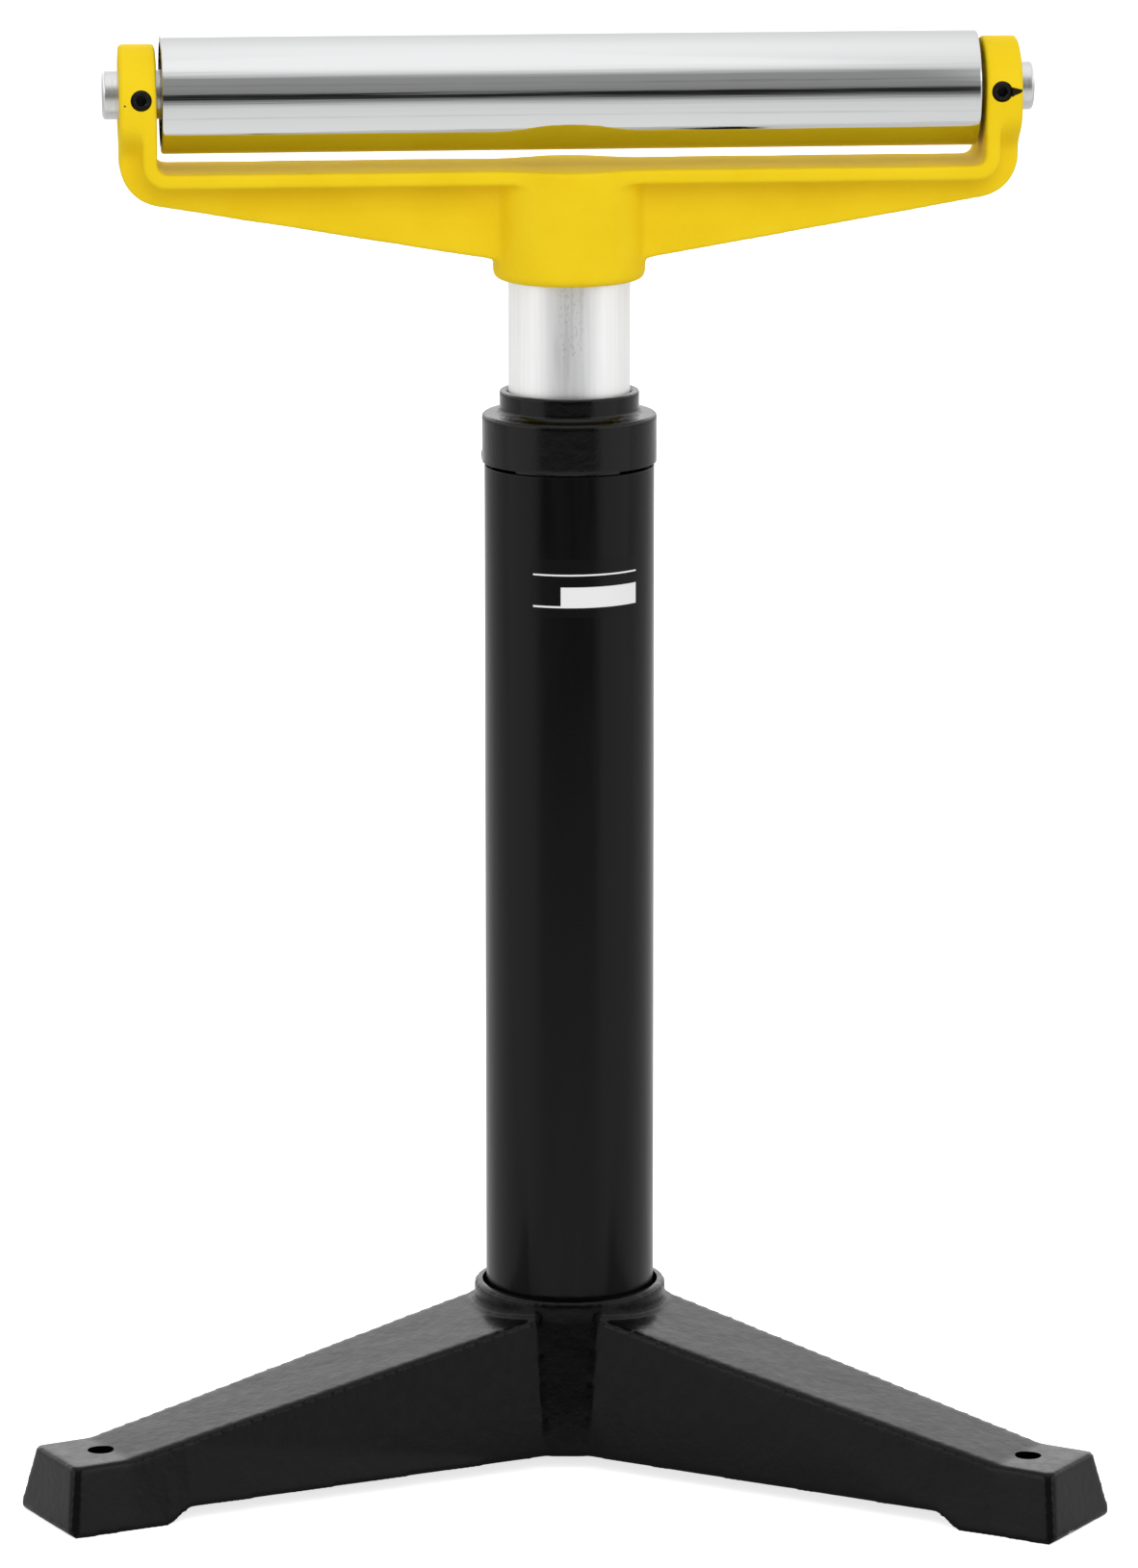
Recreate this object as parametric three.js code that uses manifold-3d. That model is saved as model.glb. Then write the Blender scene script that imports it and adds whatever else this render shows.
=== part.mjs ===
// Height-adjustable roller stand: cast tripod base, column, clamped post, cast yoke and roller.
// Millimetres, +Z up, front towards -Y, floor at Z = 0, origin at the middle of the footprint.

import * as THREE from 'three';
import { mergeVertices } from 'three/addons/utils/BufferGeometryUtils.js';
import Module from 'manifold-3d';

const wasm = await Module();
wasm.setup();

// Driving dimensions: clearances
const seatGap = 0.3;
const runningGap = 0.35;
const stopGap = 0.5;
const ballGap = 0.5;

// Driving dimensions: post and column
const postDiameter = 50;
const postWall = 3.5;
const postExposed = 46;
const postEndMargin = 4;
const postFloorClearance = 16;
const columnWall = 3;
const columnLength = 404;
const spigotWall = 6.27;
const spigotLength = 44;

// Driving dimensions: base casting
const legCount = 3;
const undersideHeight = 6;
const hubFloor = 8;
const hubHeight = 65.8;
const hubDraft = 4;
const rimWall = 3.3;
const rimGap = 1.7;
const rimDepth = 12;
const rimStraight = 8;
const rimEdge = 1;
const socketLedge = 7;
const footReach = 244;
const footLean = 4.6;
const footHeight = 27.8;
const footLength = 24.4;
const footTopHalf = 19.2;
const footBottomHalf = 25.8;
const legRootHeight = 56.4;
const legRootTopHalf = 27;
const legRootBottomHalf = 32.8;
const legEdge = 2.5;
const padLength = 49;
const padRun = 9;
const legWall = 7;
const legRoof = 8;
const footHoleDiameter = 10.8;
const footHoleInset = 25.5;

// Driving dimensions: clamp collar, bolt and lever
const sawCut = 1.5;
const bridgeAngle = THREE.MathUtils.degToRad(73);
const flangeOverhang = 1;
const flangeHeight = 20;
const neckWall = 3.3;
const neckHeight = 9.4;
const neckFillet = 2;
const collarEdge = 1.2;
const splitWidth = 3;
const lugThickness = 11;
const clampBoltDiameter = 10;
const clampHeadAcross = 17;
const clampHeadHeight = 6.4;
const clampBoltProud = 1.3;
const washerDiameter = 21;
const washerThickness = 2;
const leverBossDiameter = 22;
const leverBossLength = 12;
const leverRim = 3;
const leverLength = 92;
const leverRootDiameter = 11;
const leverTipDiameter = 8;
const leverTipInsert = 9;
const leverRestAngle = THREE.MathUtils.degToRad(15);
const knobDiameter = 20;
const knobFlat = 4;

// Driving dimensions: guide bush and its circlips on the post
const bushHeight = 30;
const bushChamfer = 1.5;
const bushCirclipThickness = 1.8;
const bushCirclipRise = 3.5;
const bushGrooveDepth = 1;
const circlipMouth = THREE.MathUtils.degToRad(40);

// Driving dimensions: axle, bearings and roller
const axleDiameter = 20;
const axleProud = 6.45;
const axleChamfer = 1.5;
const axleGrooveDepth = 0.5;
const axleCirclipThickness = 1.2;
const axleCirclipRise = 3.2;
const bearingSection = 11;
const bearingWidth = 12;
const bearingRecess = 4;
const bearingChamfer = 0.6;
const ballDiameter = 6.35;
const ballCount = 9;
const raceLip = 2.1;
const cageWall = 1.4;
const cageWidth = 2.6;
const sealThickness = 0.8;
const sealInset = 0.4;
const rollerLength = 333;
const rollerEndWall = 2.85;
const rollerShoulder = 2.3;
const rollerChamfer = 1;

// Driving dimensions: yoke casting
const restSwivel = THREE.MathUtils.degToRad(6.2);
const rollerEndGap = 2.05;
const barClearance = 6.15;
const yokeDepth = 45;
const earThickness = 15;
const earDrop = 2;
const earSkirt = 9;
const earFade = 20;
const earCornerRadius = 18;
const bandThickness = 6;
const bandInnerRadius = 4;
const webThickness = 20;
const webRootDrop = 37.8;
const webTipDrop = 11.8;
const webFillet = 5;
const yokeHubWall = 5.9;
const yokeHubSkirt = 9.2;
const yokeHubCap = 9.5;
const yokeHubEdge = 3.5;
const bulgeFillet = 40;
const castingEdge = 1.2;

// Driving dimensions: set screws
const axleScrewDiameter = 8;
const axleScrewShift = 1.2;
const hubScrewDiameter = 8;
const hubScrewHeight = 16;
const hubScrewAngle = THREE.MathUtils.degToRad(30);
const baseScrewDiameter = 10;
const baseScrewHeight = 32;
const socketShare = 0.5;
const socketDepth = 4;
const screwFlush = 0.4;

// Number of sides of round surfaces, by size
const largeSides = 40;
const mediumSides = 24;
const bearingSides = 20;
const smallSides = 12;
const arcSteps = 3;
const earSteps = 5;
const ringSteps = 9;
const ballSteps = 7;

// Radii that follow from the driving dimensions
const postRadius = postDiameter / 2;
const guideBore = (postRadius + runningGap) / Math.cos(Math.PI / largeSides);
const spigotRadius = guideBore + spigotWall;
const columnBore = spigotRadius + seatGap;
const columnRadius = columnBore + columnWall;
const socketRadius = columnRadius + seatGap;
const rimBore = columnRadius + rimGap;
const hubTopRadius = rimBore + rimWall;
const hubBottomRadius = hubTopRadius + hubDraft;
const flangeRadius = columnRadius + flangeOverhang;
const neckRadius = guideBore + neckWall;
const bushRadius = columnBore - runningGap;
const axleRadius = axleDiameter / 2;
const axleHole = axleRadius + seatGap;
const bearingRadius = axleRadius + bearingSection;
const rollerBore = bearingRadius + seatGap;
const rollerRadius = rollerBore + rollerEndWall;
const rollerInnerRadius = rollerBore - rollerShoulder;
const pitchRadius = axleRadius + bearingSection / 2;
const yokeHubBore = postRadius + seatGap;
const yokeHubRadius = yokeHubBore + yokeHubWall;

// Heights above the floor at rest
const socketFloor = undersideHeight + hubFloor;
const columnBottom = socketFloor + seatGap;
const columnTop = columnBottom + columnLength;
const rimTop = undersideHeight + hubHeight;
const legRootTop = undersideHeight + legRootHeight;
const flangeBottom = columnTop + sawCut;
const flangeTop = flangeBottom + flangeHeight;
const flangeMiddle = (flangeBottom + flangeTop) / 2;
const collarTop = flangeTop + neckHeight;
const yokeHubBottom = collarTop + postExposed;
const barTop = yokeHubBottom + yokeHubSkirt + webRootDrop;
const postTop = barTop - yokeHubCap - seatGap;
const postBottom = socketFloor + postFloorClearance + postExposed - stopGap;
const axleHeight = barTop + barClearance + rollerRadius;
const lowerGroove = postBottom + postEndMargin;
const bushBottom = lowerGroove + bushCirclipThickness + 2 * seatGap;
const upperGroove = bushBottom + bushHeight;

// Places along the roller, measured from the column axis
const earInner = rollerLength / 2 + rollerEndGap;
const earOuter = earInner + earThickness;
const axleScrewPlace = (earInner + earOuter) / 2 - axleScrewShift;
const axleHalf = earOuter + axleProud;
const bearingOuterFace = rollerLength / 2 - bearingRecess;
const bearingMiddle = bearingOuterFace - bearingWidth / 2;
const bearingInnerFace = bearingOuterFace - bearingWidth;

// Places across the clamp, measured from the column axis
const clampAxisY = flangeRadius + leverBossDiameter / 2 + leverRim;
const lugOuter = splitWidth / 2 + lugThickness;
const washerInner = lugOuter + seatGap;
const bossInner = washerInner + washerThickness + seatGap;
const bossOuter = bossInner + leverBossLength;

// The rear leg and the front feet set the footprint, and its middle is the origin
const legAngles = Array.from({ length: legCount }, (_, i) => Math.PI / 2 + (i * 2 * Math.PI) / legCount);
const footCorner = footBottomHalf - legEdge / 2;
const frontReach = Math.max(...legAngles.map((a) => (
  footCorner * Math.abs(Math.cos(a)) - footReach * Math.sin(a))));
const originY = (footReach - frontReach) / 2;

// Finishes
const finishes = {
  blackCasting: { color: 0x1b1b1c, roughness: 0.55, metalness: 0.0 },
  blackPaint: { color: 0x121213, roughness: 0.35, metalness: 0.0 },
  yellowPaint: { color: 0xe8c81e, roughness: 0.4, metalness: 0.0 },
  chrome: { color: 0xd8dadc, roughness: 0.06, metalness: 1.0 },
  zincSteel: { color: 0xc9cacb, roughness: 0.38, metalness: 1.0 },
  bearingSteel: { color: 0xb4b6b8, roughness: 0.25, metalness: 1.0 },
  blackSteel: { color: 0x161617, roughness: 0.5, metalness: 0.8 },
  blackPlastic: { color: 0x0e0e0f, roughness: 0.4, metalness: 0.0 },
  palePlastic: { color: 0xd9d6cc, roughness: 0.5, metalness: 0.0 },
  blackRubber: { color: 0x1a1a1a, roughness: 0.7, metalness: 0.0 },
};

const vector = (x, y, z) => new THREE.Vector3(x, y, z);

// Shared-vertex copy of a closed geometry, with its faces turned outwards, as a solid.
function solid(geometry) {
  const bare = new THREE.BufferGeometry();
  bare.setAttribute('position', geometry.getAttribute('position'));
  bare.setIndex(geometry.index);
  const welded = mergeVertices(bare, 1e-4);
  const points = welded.getAttribute('position');
  const corners = (t) => [0, 1, 2].map((k) => welded.index.getX(3 * t + k));
  const triangles = Array.from({ length: welded.index.count / 3 }, (_, t) => corners(t))
    .filter(([a, b, c]) => a !== b && b !== c && c !== a);
  const at = (i) => vector().fromBufferAttribute(points, i);
  const volume = triangles.reduce((sum, [a, b, c]) => sum + at(a).dot(at(b).cross(at(c))), 0);
  const order = volume < 0 ? triangles.map(([a, b, c]) => [a, c, b]) : triangles;
  return new wasm.Manifold(new wasm.Mesh({
    numProp: 3,
    vertProperties: new Float32Array(points.array),
    triVerts: new Uint32Array(order.flat()),
  }));
}

// Geometry of a joined or cut solid.
function geometryOf(body) {
  const mesh = body.getMesh();
  const geometry = new THREE.BufferGeometry();
  geometry.setAttribute('position', new THREE.BufferAttribute(new Float32Array(mesh.vertProperties), 3));
  geometry.setIndex(new THREE.BufferAttribute(new Uint32Array(mesh.triVerts), 1));
  geometry.computeVertexNormals();
  return geometry;
}

const joined = (bodies) => bodies.reduce((whole, body) => whole.add(body));
const cut = (body, tools) => tools.reduce((rest, tool) => rest.subtract(tool), body);

// Solid of revolution about Z from an outline of [radius, height] points.
function revolve(outline, sides) {
  const points = outline.map(([radius, height]) => new THREE.Vector2(radius, height));
  const closed = points[0].x === 0 ? points : [...points, points[0].clone()];
  return new THREE.LatheGeometry(closed, sides).rotateX(Math.PI / 2);
}

// Round bar along Z between two heights.
function bar(radius, from, to, sides) {
  return revolve([[0, from], [radius, from], [radius, to], [0, to]], sides);
}

const alongX = (geometry) => geometry.rotateY(Math.PI / 2);
const alongY = (geometry) => geometry.rotateX(-Math.PI / 2);

// Prism of an outline between two stations along its own Z, with rounded rims of size edge.
function prism(outline, from, to, edge = 0, steps = arcSteps) {
  const geometry = new THREE.ExtrudeGeometry(outline, {
    depth: to - from - 2 * edge,
    curveSegments: steps,
    bevelEnabled: edge > 0,
    bevelThickness: edge,
    bevelSize: edge,
    bevelOffset: -edge,
    bevelSegments: 1,
  });
  return geometry.translate(0, 0, from + edge);
}

// The same prism with its outline drawn in X and Z, and its length along Y.
function prismAlongY(outline, from, to, edge) {
  const turn = new THREE.Matrix4().makeBasis(vector(1, 0, 0), vector(0, 0, 1), vector(0, -1, 0));
  return prism(outline, -to, -from, edge).applyMatrix4(turn);
}

// The same prism with its outline drawn in Y and Z, and its length along X.
function prismAlongX(outline, from, to, edge, steps) {
  const turn = new THREE.Matrix4().makeBasis(vector(0, 1, 0), vector(0, 0, 1), vector(1, 0, 0));
  return prism(outline, from, to, edge, steps).applyMatrix4(turn);
}

// Closed skin over a row of convex rings with equal numbers of points.
function loft(rings) {
  const count = rings[0].length;
  const last = (rings.length - 1) * count;
  const index = [];
  for (let i = 0; i < last; i += count) {
    for (let j = 0; j < count; j += 1) {
      const next = (j + 1) % count;
      index.push(i + j, i + next, i + count + j, i + next, i + count + next, i + count + j);
    }
  }
  for (let j = 1; j + 1 < count; j += 1) {
    index.push(0, j + 1, j, last, last + j, last + j + 1);
  }
  const geometry = new THREE.BufferGeometry().setFromPoints(rings.flat());
  geometry.setIndex(index);
  return geometry;
}

// Ring outline with a mouth, for circlips.
function openRing(inner, outer, mouth) {
  const half = mouth / 2;
  const outline = new THREE.Shape();
  outline.absarc(0, 0, outer, half, 2 * Math.PI - half, false);
  outline.absarc(0, 0, inner, 2 * Math.PI - half, half, true);
  outline.closePath();
  return outline;
}

// Circlip along Z whose flat-sided inside clears a round groove of radius inner.
function circlip(inner, outer, thickness) {
  const facet = (2 * Math.PI - circlipMouth) / (2 * ringSteps);
  const outline = openRing(inner / Math.cos(facet / 2), outer, circlipMouth);
  const geometry = new THREE.ExtrudeGeometry(outline, {
    depth: thickness,
    curveSegments: ringSteps,
    bevelEnabled: false,
  });
  return geometryOf(solid(geometry));
}

// Set screw along Z, tip at zero, with a hexagon socket in its outer end.
function setScrew(diameter, length) {
  const radius = diameter / 2;
  const chamfer = diameter / 16;
  const shank = revolve([
    [0, 0], [radius - chamfer, 0], [radius, chamfer],
    [radius, length - chamfer], [radius - chamfer, length], [0, length],
  ], smallSides);
  const key = (diameter * socketShare) / 2 / Math.cos(Math.PI / 6);
  const depth = Math.min(socketDepth, length / 2);
  const socket = bar(key, length - depth, length + 1, 6);
  return geometryOf(solid(shank).subtract(solid(socket)));
}

// Leg of the base, along +X from the column axis.
const footEnd = footReach - footLean;
const footStart = footEnd - footLength;
const padMiddle = footReach - padLength;
const legShare = (x) => THREE.MathUtils.clamp((x - hubTopRadius) / (footStart - hubTopRadius), -1, 1);
const legTop = (x) => THREE.MathUtils.lerp(legRootTop, footHeight, legShare(x));
const legTopHalf = (x) => THREE.MathUtils.lerp(legRootTopHalf, footTopHalf, legShare(x));
const rootDraft = (legRootBottomHalf - legRootTopHalf) / legRootHeight;
const footDraft = (footBottomHalf - footTopHalf) / footHeight;
const legDraft = (x) => THREE.MathUtils.lerp(rootDraft, footDraft, legShare(x));
const legHalf = (x, z) => legTopHalf(x) + legDraft(x) * (legTop(x) - z);
const legBottom = (x) => undersideHeight
  * (1 - THREE.MathUtils.smoothstep(x, padMiddle - padRun / 2, padMiddle + padRun / 2));

// Cross-section of the leg at x, its upper edges rounded, drawn in by inset and leaning by lean.
function legRing(x, inset = 0, lean = 0) {
  const top = legTop(x) - inset;
  const half = (z) => legHalf(x, z) - inset;
  const round = new THREE.QuadraticBezierCurve(
    new THREE.Vector2(half(top - legEdge), top - legEdge),
    new THREE.Vector2(half(top), top),
    new THREE.Vector2(half(top) - legEdge, top),
  ).getPoints(2);
  const right = [new THREE.Vector2(half(legBottom(x)), legBottom(x)), ...round];
  const left = right.map((p) => new THREE.Vector2(-p.x, p.y)).reverse();
  return [...right, ...left].map((p) => vector(x + lean * (1 - p.y / footHeight), p.x, p.y));
}

function leg() {
  const padSteps = [0, 0.25, 0.5, 0.75, 1].map((t) => padMiddle + padRun * (t - 0.5));
  return loft([
    legRing(0),
    ...padSteps.map((x) => legRing(x)),
    legRing(footStart),
    legRing(footEnd - legEdge, 0, footLean),
    legRing(footEnd, legEdge / 2, footLean),
  ]);
}

// Hollow under the leg, between the socket wall and the foot pad.
function legHollow() {
  const ring = (x) => {
    const roof = legTop(x) - legRoof;
    const floor = undersideHeight - 1;
    const corners = [[floor, 1], [roof, 1], [roof, -1], [floor, -1]];
    return corners.map(([z, side]) => vector(x, side * (legHalf(x, z) - legWall), z));
  };
  return loft([ring(hubBottomRadius + seatGap), ring(padMiddle - padRun / 2 - legWall)]);
}

function baseCasting() {
  const hub = revolve([
    [0, undersideHeight], [hubBottomRadius, undersideHeight], [hubTopRadius, rimTop - rimStraight],
    [hubTopRadius, rimTop - rimEdge], [hubTopRadius - rimEdge, rimTop], [0, rimTop],
  ], largeSides);
  const legs = legAngles.map((angle) => solid(leg().rotateZ(angle)));
  const hollows = legAngles.map((angle) => solid(legHollow().rotateZ(angle)));
  const holeRadius = footHoleDiameter / 2;
  const holes = legAngles.map((angle) => solid(bar(holeRadius, -1, footHeight + 1, smallSides)
    .translate(footReach - footHoleInset, 0, 0).rotateZ(angle)));
  const socket = revolve([
    [0, undersideHeight - 1], [columnRadius - socketLedge, undersideHeight - 1],
    [columnRadius - socketLedge, socketFloor], [socketRadius, socketFloor],
    [socketRadius, rimTop - rimDepth - rimGap], [rimBore, rimTop - rimDepth],
    [rimBore, rimTop + 1], [0, rimTop + 1],
  ], largeSides);
  const screwHoles = baseScrewAngles.map((angle) => solid(alongX(
    bar(baseScrewDiameter / 2 + seatGap, columnRadius, hubBottomRadius + 1, smallSides))
    .translate(0, 0, baseScrewZ).rotateZ(angle)));
  return geometryOf(cut(joined([solid(hub), ...legs]), [...hollows, ...holes, solid(socket), ...screwHoles]));
}

// The column's set screws sit in the two hub faces beside the rear leg.
const baseScrewZ = undersideHeight + baseScrewHeight;
const baseScrewAngles = [-1, 1].map((side) => Math.PI / 2 + (side * Math.PI) / legCount);
const hubSlope = hubDraft / (rimTop - rimStraight - undersideHeight);
const hubRadiusAtScrew = hubBottomRadius - hubSlope * (baseScrewZ - undersideHeight);
const baseScrewTip = columnRadius + seatGap;
const baseScrewLength = hubRadiusAtScrew - screwFlush - baseScrewTip;

function tube(outer, inner, from, to) {
  return geometryOf(solid(revolve([[outer, from], [outer, to], [inner, to], [inner, from]], largeSides)));
}

// Post with two circlip grooves near its lower end.
function postTube() {
  const inner = postRadius - postWall;
  const groove = (z) => {
    const wide = bushCirclipThickness + 2 * seatGap;
    const deep = postRadius - bushGrooveDepth;
    return [[postRadius, z], [deep, z], [deep, z + wide], [postRadius, z + wide]];
  };
  const outline = [
    [inner, postBottom], [postRadius, postBottom],
    ...groove(lowerGroove), ...groove(upperGroove),
    [postRadius, postTop], [inner, postTop],
  ];
  return geometryOf(solid(revolve(outline, largeSides)));
}

function guideBush() {
  const top = bushBottom + bushHeight - seatGap;
  const outline = [
    [guideBore, bushBottom], [bushRadius - bushChamfer, bushBottom], [bushRadius, bushBottom + bushChamfer],
    [bushRadius, top - bushChamfer], [bushRadius - bushChamfer, top], [guideBore, top],
  ];
  return geometryOf(solid(revolve(outline, largeSides)));
}

// Collar: spigot in the column, flange above a saw cut, neck, and two lugs at the rear split.
function clampCollar() {
  const fillet = new THREE.EllipseCurve(
    neckRadius + neckFillet, flangeTop + neckFillet, neckFillet, neckFillet, -Math.PI / 2, -Math.PI, true,
  ).getPoints(2).map((p) => [p.x, p.y]);
  const outline = [
    [guideBore, columnTop - spigotLength], [spigotRadius, columnTop - spigotLength],
    [spigotRadius, columnTop + seatGap], [columnRadius, columnTop + seatGap],
    [columnRadius, flangeBottom], [flangeRadius, flangeBottom],
    [flangeRadius, flangeTop - collarEdge], [flangeRadius - collarEdge, flangeTop],
    ...fillet,
    [neckRadius, collarTop - collarEdge], [neckRadius - collarEdge, collarTop], [guideBore, collarTop],
  ];
  const lugOutline = new THREE.Shape();
  lugOutline.moveTo(neckRadius, flangeBottom);
  lugOutline.absarc(clampAxisY, flangeMiddle, flangeHeight / 2, -Math.PI / 2, Math.PI / 2, false);
  lugOutline.lineTo(neckRadius, flangeTop);
  lugOutline.closePath();
  const lugs = prismAlongX(lugOutline, -lugOuter, lugOuter, collarEdge);
  const sawStart = bridgeAngle / 2 - Math.PI / 2;
  const sawEnd = sawStart + 2 * Math.PI - bridgeAngle;
  const sawOutline = new THREE.Shape();
  sawOutline.absarc(0, 0, flangeRadius + 1, sawStart, sawEnd, false);
  sawOutline.lineTo(0, 0);
  sawOutline.closePath();
  const saw = new THREE.ExtrudeGeometry(sawOutline, {
    depth: sawCut,
    curveSegments: ringSteps,
    bevelEnabled: false,
  }).translate(0, 0, columnTop);
  const rear = clampAxisY + flangeHeight;
  const split = new THREE.BoxGeometry(splitWidth, rear, collarTop - columnTop)
    .translate(0, rear / 2, (collarTop + columnTop) / 2 + 1);
  const bore = bar(guideBore, columnTop - spigotLength - 1, collarTop + 1, largeSides);
  const boltHole = alongX(bar(clampBoltDiameter / 2 + seatGap, -lugOuter - 1, lugOuter + 1, smallSides))
    .translate(0, clampAxisY, flangeMiddle);
  const body = joined([solid(revolve(outline, largeSides)), solid(lugs)]);
  return geometryOf(cut(body, [solid(bore), solid(saw), solid(split), solid(boltHole)]));
}

// Clamp bolt along X: hexagon head on the right, thread end in the lever on the left.
function clampBolt() {
  const headInner = lugOuter + seatGap;
  const shank = bar(clampBoltDiameter / 2, -bossOuter - clampBoltProud, headInner + 1, smallSides);
  const across = clampHeadAcross / 2 / Math.cos(Math.PI / 6);
  const head = bar(across, headInner, headInner + clampHeadHeight, 6);
  return geometryOf(solid(alongX(shank)).add(solid(alongX(head))));
}

function clampWasher() {
  const hole = clampBoltDiameter / 2 + seatGap;
  const rim = washerDiameter / 2;
  const outline = [
    [hole, -washerInner - washerThickness], [rim, -washerInner - washerThickness],
    [rim, -washerInner], [hole, -washerInner],
  ];
  return geometryOf(solid(alongX(revolve(outline, mediumSides))));
}

// Lever with a threaded boss and a tapered arm that hangs from the clamp axis.
function clampLever() {
  const hole = clampBoltDiameter / 2 + seatGap;
  const rim = leverBossDiameter / 2;
  const boss = alongX(revolve([
    [0, -bossOuter], [rim - collarEdge, -bossOuter], [rim, -bossOuter + collarEdge],
    [rim, -bossInner - collarEdge], [rim - collarEdge, -bossInner], [0, -bossInner],
  ], mediumSides));
  const arm = revolve([
    [0, 0], [leverRootDiameter / 2, 0], [leverTipDiameter / 2, -leverLength], [0, -leverLength],
  ], smallSides).translate(leverArmX, 0, 0);
  const bore = alongX(bar(hole, -bossOuter - 1, -bossInner + 1, smallSides));
  return geometryOf(joined([solid(boss), solid(arm)]).subtract(solid(bore)));
}

const leverArmX = -(bossInner + bossOuter) / 2;

// Ball knob with a flat neck, pushed over the tip of the lever.
function leverKnob() {
  const radius = knobDiameter / 2;
  const centre = -leverLength + leverTipInsert - (radius - knobFlat);
  const neckAngle = Math.acos((radius - knobFlat) / radius);
  const ball = new THREE.EllipseCurve(
    0, centre, radius, radius, -Math.PI / 2, Math.PI / 2 - neckAngle, false,
  );
  const outline = ball.getPoints(ballSteps).map((p) => [Math.max(p.x, 0), p.y]);
  outline[0][0] = 0;
  outline.push([0, outline[outline.length - 1][1]]);
  const taper = (leverRootDiameter - leverTipDiameter) / 2 / leverLength;
  const tipHole = leverTipDiameter / 2 + taper * leverTipInsert + seatGap;
  const hole = bar(tipHole, -leverLength - seatGap, -leverLength + leverTipInsert + 1, smallSides);
  const body = solid(revolve(outline, mediumSides)).subtract(solid(hole));
  return geometryOf(body).translate(leverArmX, 0, 0);
}

// Inner face of the U that carries the roller: a band of even thickness, ear to ear.
function bandOutline() {
  const outer = earInner + bandThickness;
  const bottom = barTop - bandThickness;
  const outerRadius = bandInnerRadius + bandThickness;
  const end = axleHeight - axleHole - castingEdge;
  const centre = earInner - bandInnerRadius;
  const height = barTop + bandInnerRadius;
  const outline = new THREE.Shape();
  outline.moveTo(-outer, end);
  outline.absarc(-centre, height, outerRadius, Math.PI, 1.5 * Math.PI, false);
  outline.absarc(centre, height, outerRadius, 1.5 * Math.PI, 2 * Math.PI, false);
  outline.lineTo(outer, end);
  outline.lineTo(earInner, end);
  outline.absarc(centre, height, bandInnerRadius, 0, -Math.PI / 2, true);
  outline.absarc(-centre, height, bandInnerRadius, 1.5 * Math.PI, Math.PI, true);
  outline.lineTo(-earInner, end);
  outline.closePath();
  return outline;
}

// Web under the bar: slopes from the hub out to the rounded lower corners of the ears.
function webOutline() {
  const rootZ = barTop - webRootDrop;
  const tipZ = barTop - webTipDrop;
  const slope = Math.atan2(tipZ - rootZ, earOuter - yokeHubRadius);
  const centreX = earOuter - earCornerRadius;
  const lineZ = rootZ + Math.tan(slope) * (centreX - yokeHubRadius);
  const centreZ = lineZ + earCornerRadius / Math.cos(slope);
  const top = axleHeight - axleHole - castingEdge;
  const innerX = earInner + bandThickness / 2;
  const innerZ = barTop - bandThickness / 2;
  const outline = new THREE.Shape();
  outline.moveTo(-yokeHubRadius, rootZ);
  outline.lineTo(yokeHubRadius, rootZ);
  outline.absarc(centreX, centreZ, earCornerRadius, slope - Math.PI / 2, 0, false);
  outline.lineTo(earOuter, top);
  outline.lineTo(innerX, top);
  outline.lineTo(innerX, innerZ);
  outline.lineTo(-innerX, innerZ);
  outline.lineTo(-innerX, top);
  outline.lineTo(-earOuter, top);
  outline.absarc(-centreX, centreZ, earCornerRadius, Math.PI, 1.5 * Math.PI - slope, false);
  outline.closePath();
  return outline;
}

// Ear seen along the roller: a round top a little lower than the axle, fading below into the thinner web.
function earOutline() {
  const half = yokeDepth / 2;
  const thin = webThickness / 2 - castingEdge;
  const skirt = axleHeight - earSkirt;
  const foot = skirt - earFade;
  const outline = new THREE.Shape();
  outline.absarc(0, axleHeight - earDrop, half, 0, Math.PI, false);
  outline.lineTo(-half, skirt);
  outline.bezierCurveTo(-half, skirt - earFade / 2, -thin, foot + earFade / 2, -thin, foot);
  outline.lineTo(thin, foot);
  outline.bezierCurveTo(thin, foot + earFade / 2, half, skirt - earFade / 2, half, skirt);
  outline.closePath();
  return outline;
}

// Plan of a wall of the given half width that swells round the hub with concave fillets.
function swollenPlan(half, fillet) {
  const centreY = half + fillet;
  const centreX = Math.sqrt((yokeHubRadius + fillet) ** 2 - centreY ** 2);
  const lean = Math.atan2(centreY, centreX);
  const outline = new THREE.Shape();
  outline.moveTo(centreX, -half);
  outline.lineTo(centreX, half);
  outline.absarc(centreX, centreY, fillet, -Math.PI / 2, lean - Math.PI, true);
  outline.absarc(0, 0, yokeHubRadius, lean, Math.PI - lean, false);
  outline.absarc(-centreX, centreY, fillet, -lean, -Math.PI / 2, true);
  outline.lineTo(-centreX, -half);
  outline.absarc(-centreX, -centreY, fillet, Math.PI / 2, lean, true);
  outline.absarc(0, 0, yokeHubRadius, Math.PI + lean, 2 * Math.PI - lean, false);
  outline.absarc(centreX, -centreY, fillet, Math.PI - lean, Math.PI / 2, true);
  outline.closePath();
  return outline;
}

const hubScrewZ = yokeHubBottom + hubScrewHeight;
const hubScrewAngles = [-1, 1].map((side) => Math.PI / 2 + side * hubScrewAngle);
const hubScrewTip = postRadius + seatGap;
const hubScrewLength = yokeHubRadius - screwFlush - hubScrewTip;
const axleScrewTip = axleRadius + seatGap;
const axleScrewLength = yokeDepth / 2 - screwFlush - axleScrewTip;

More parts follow.
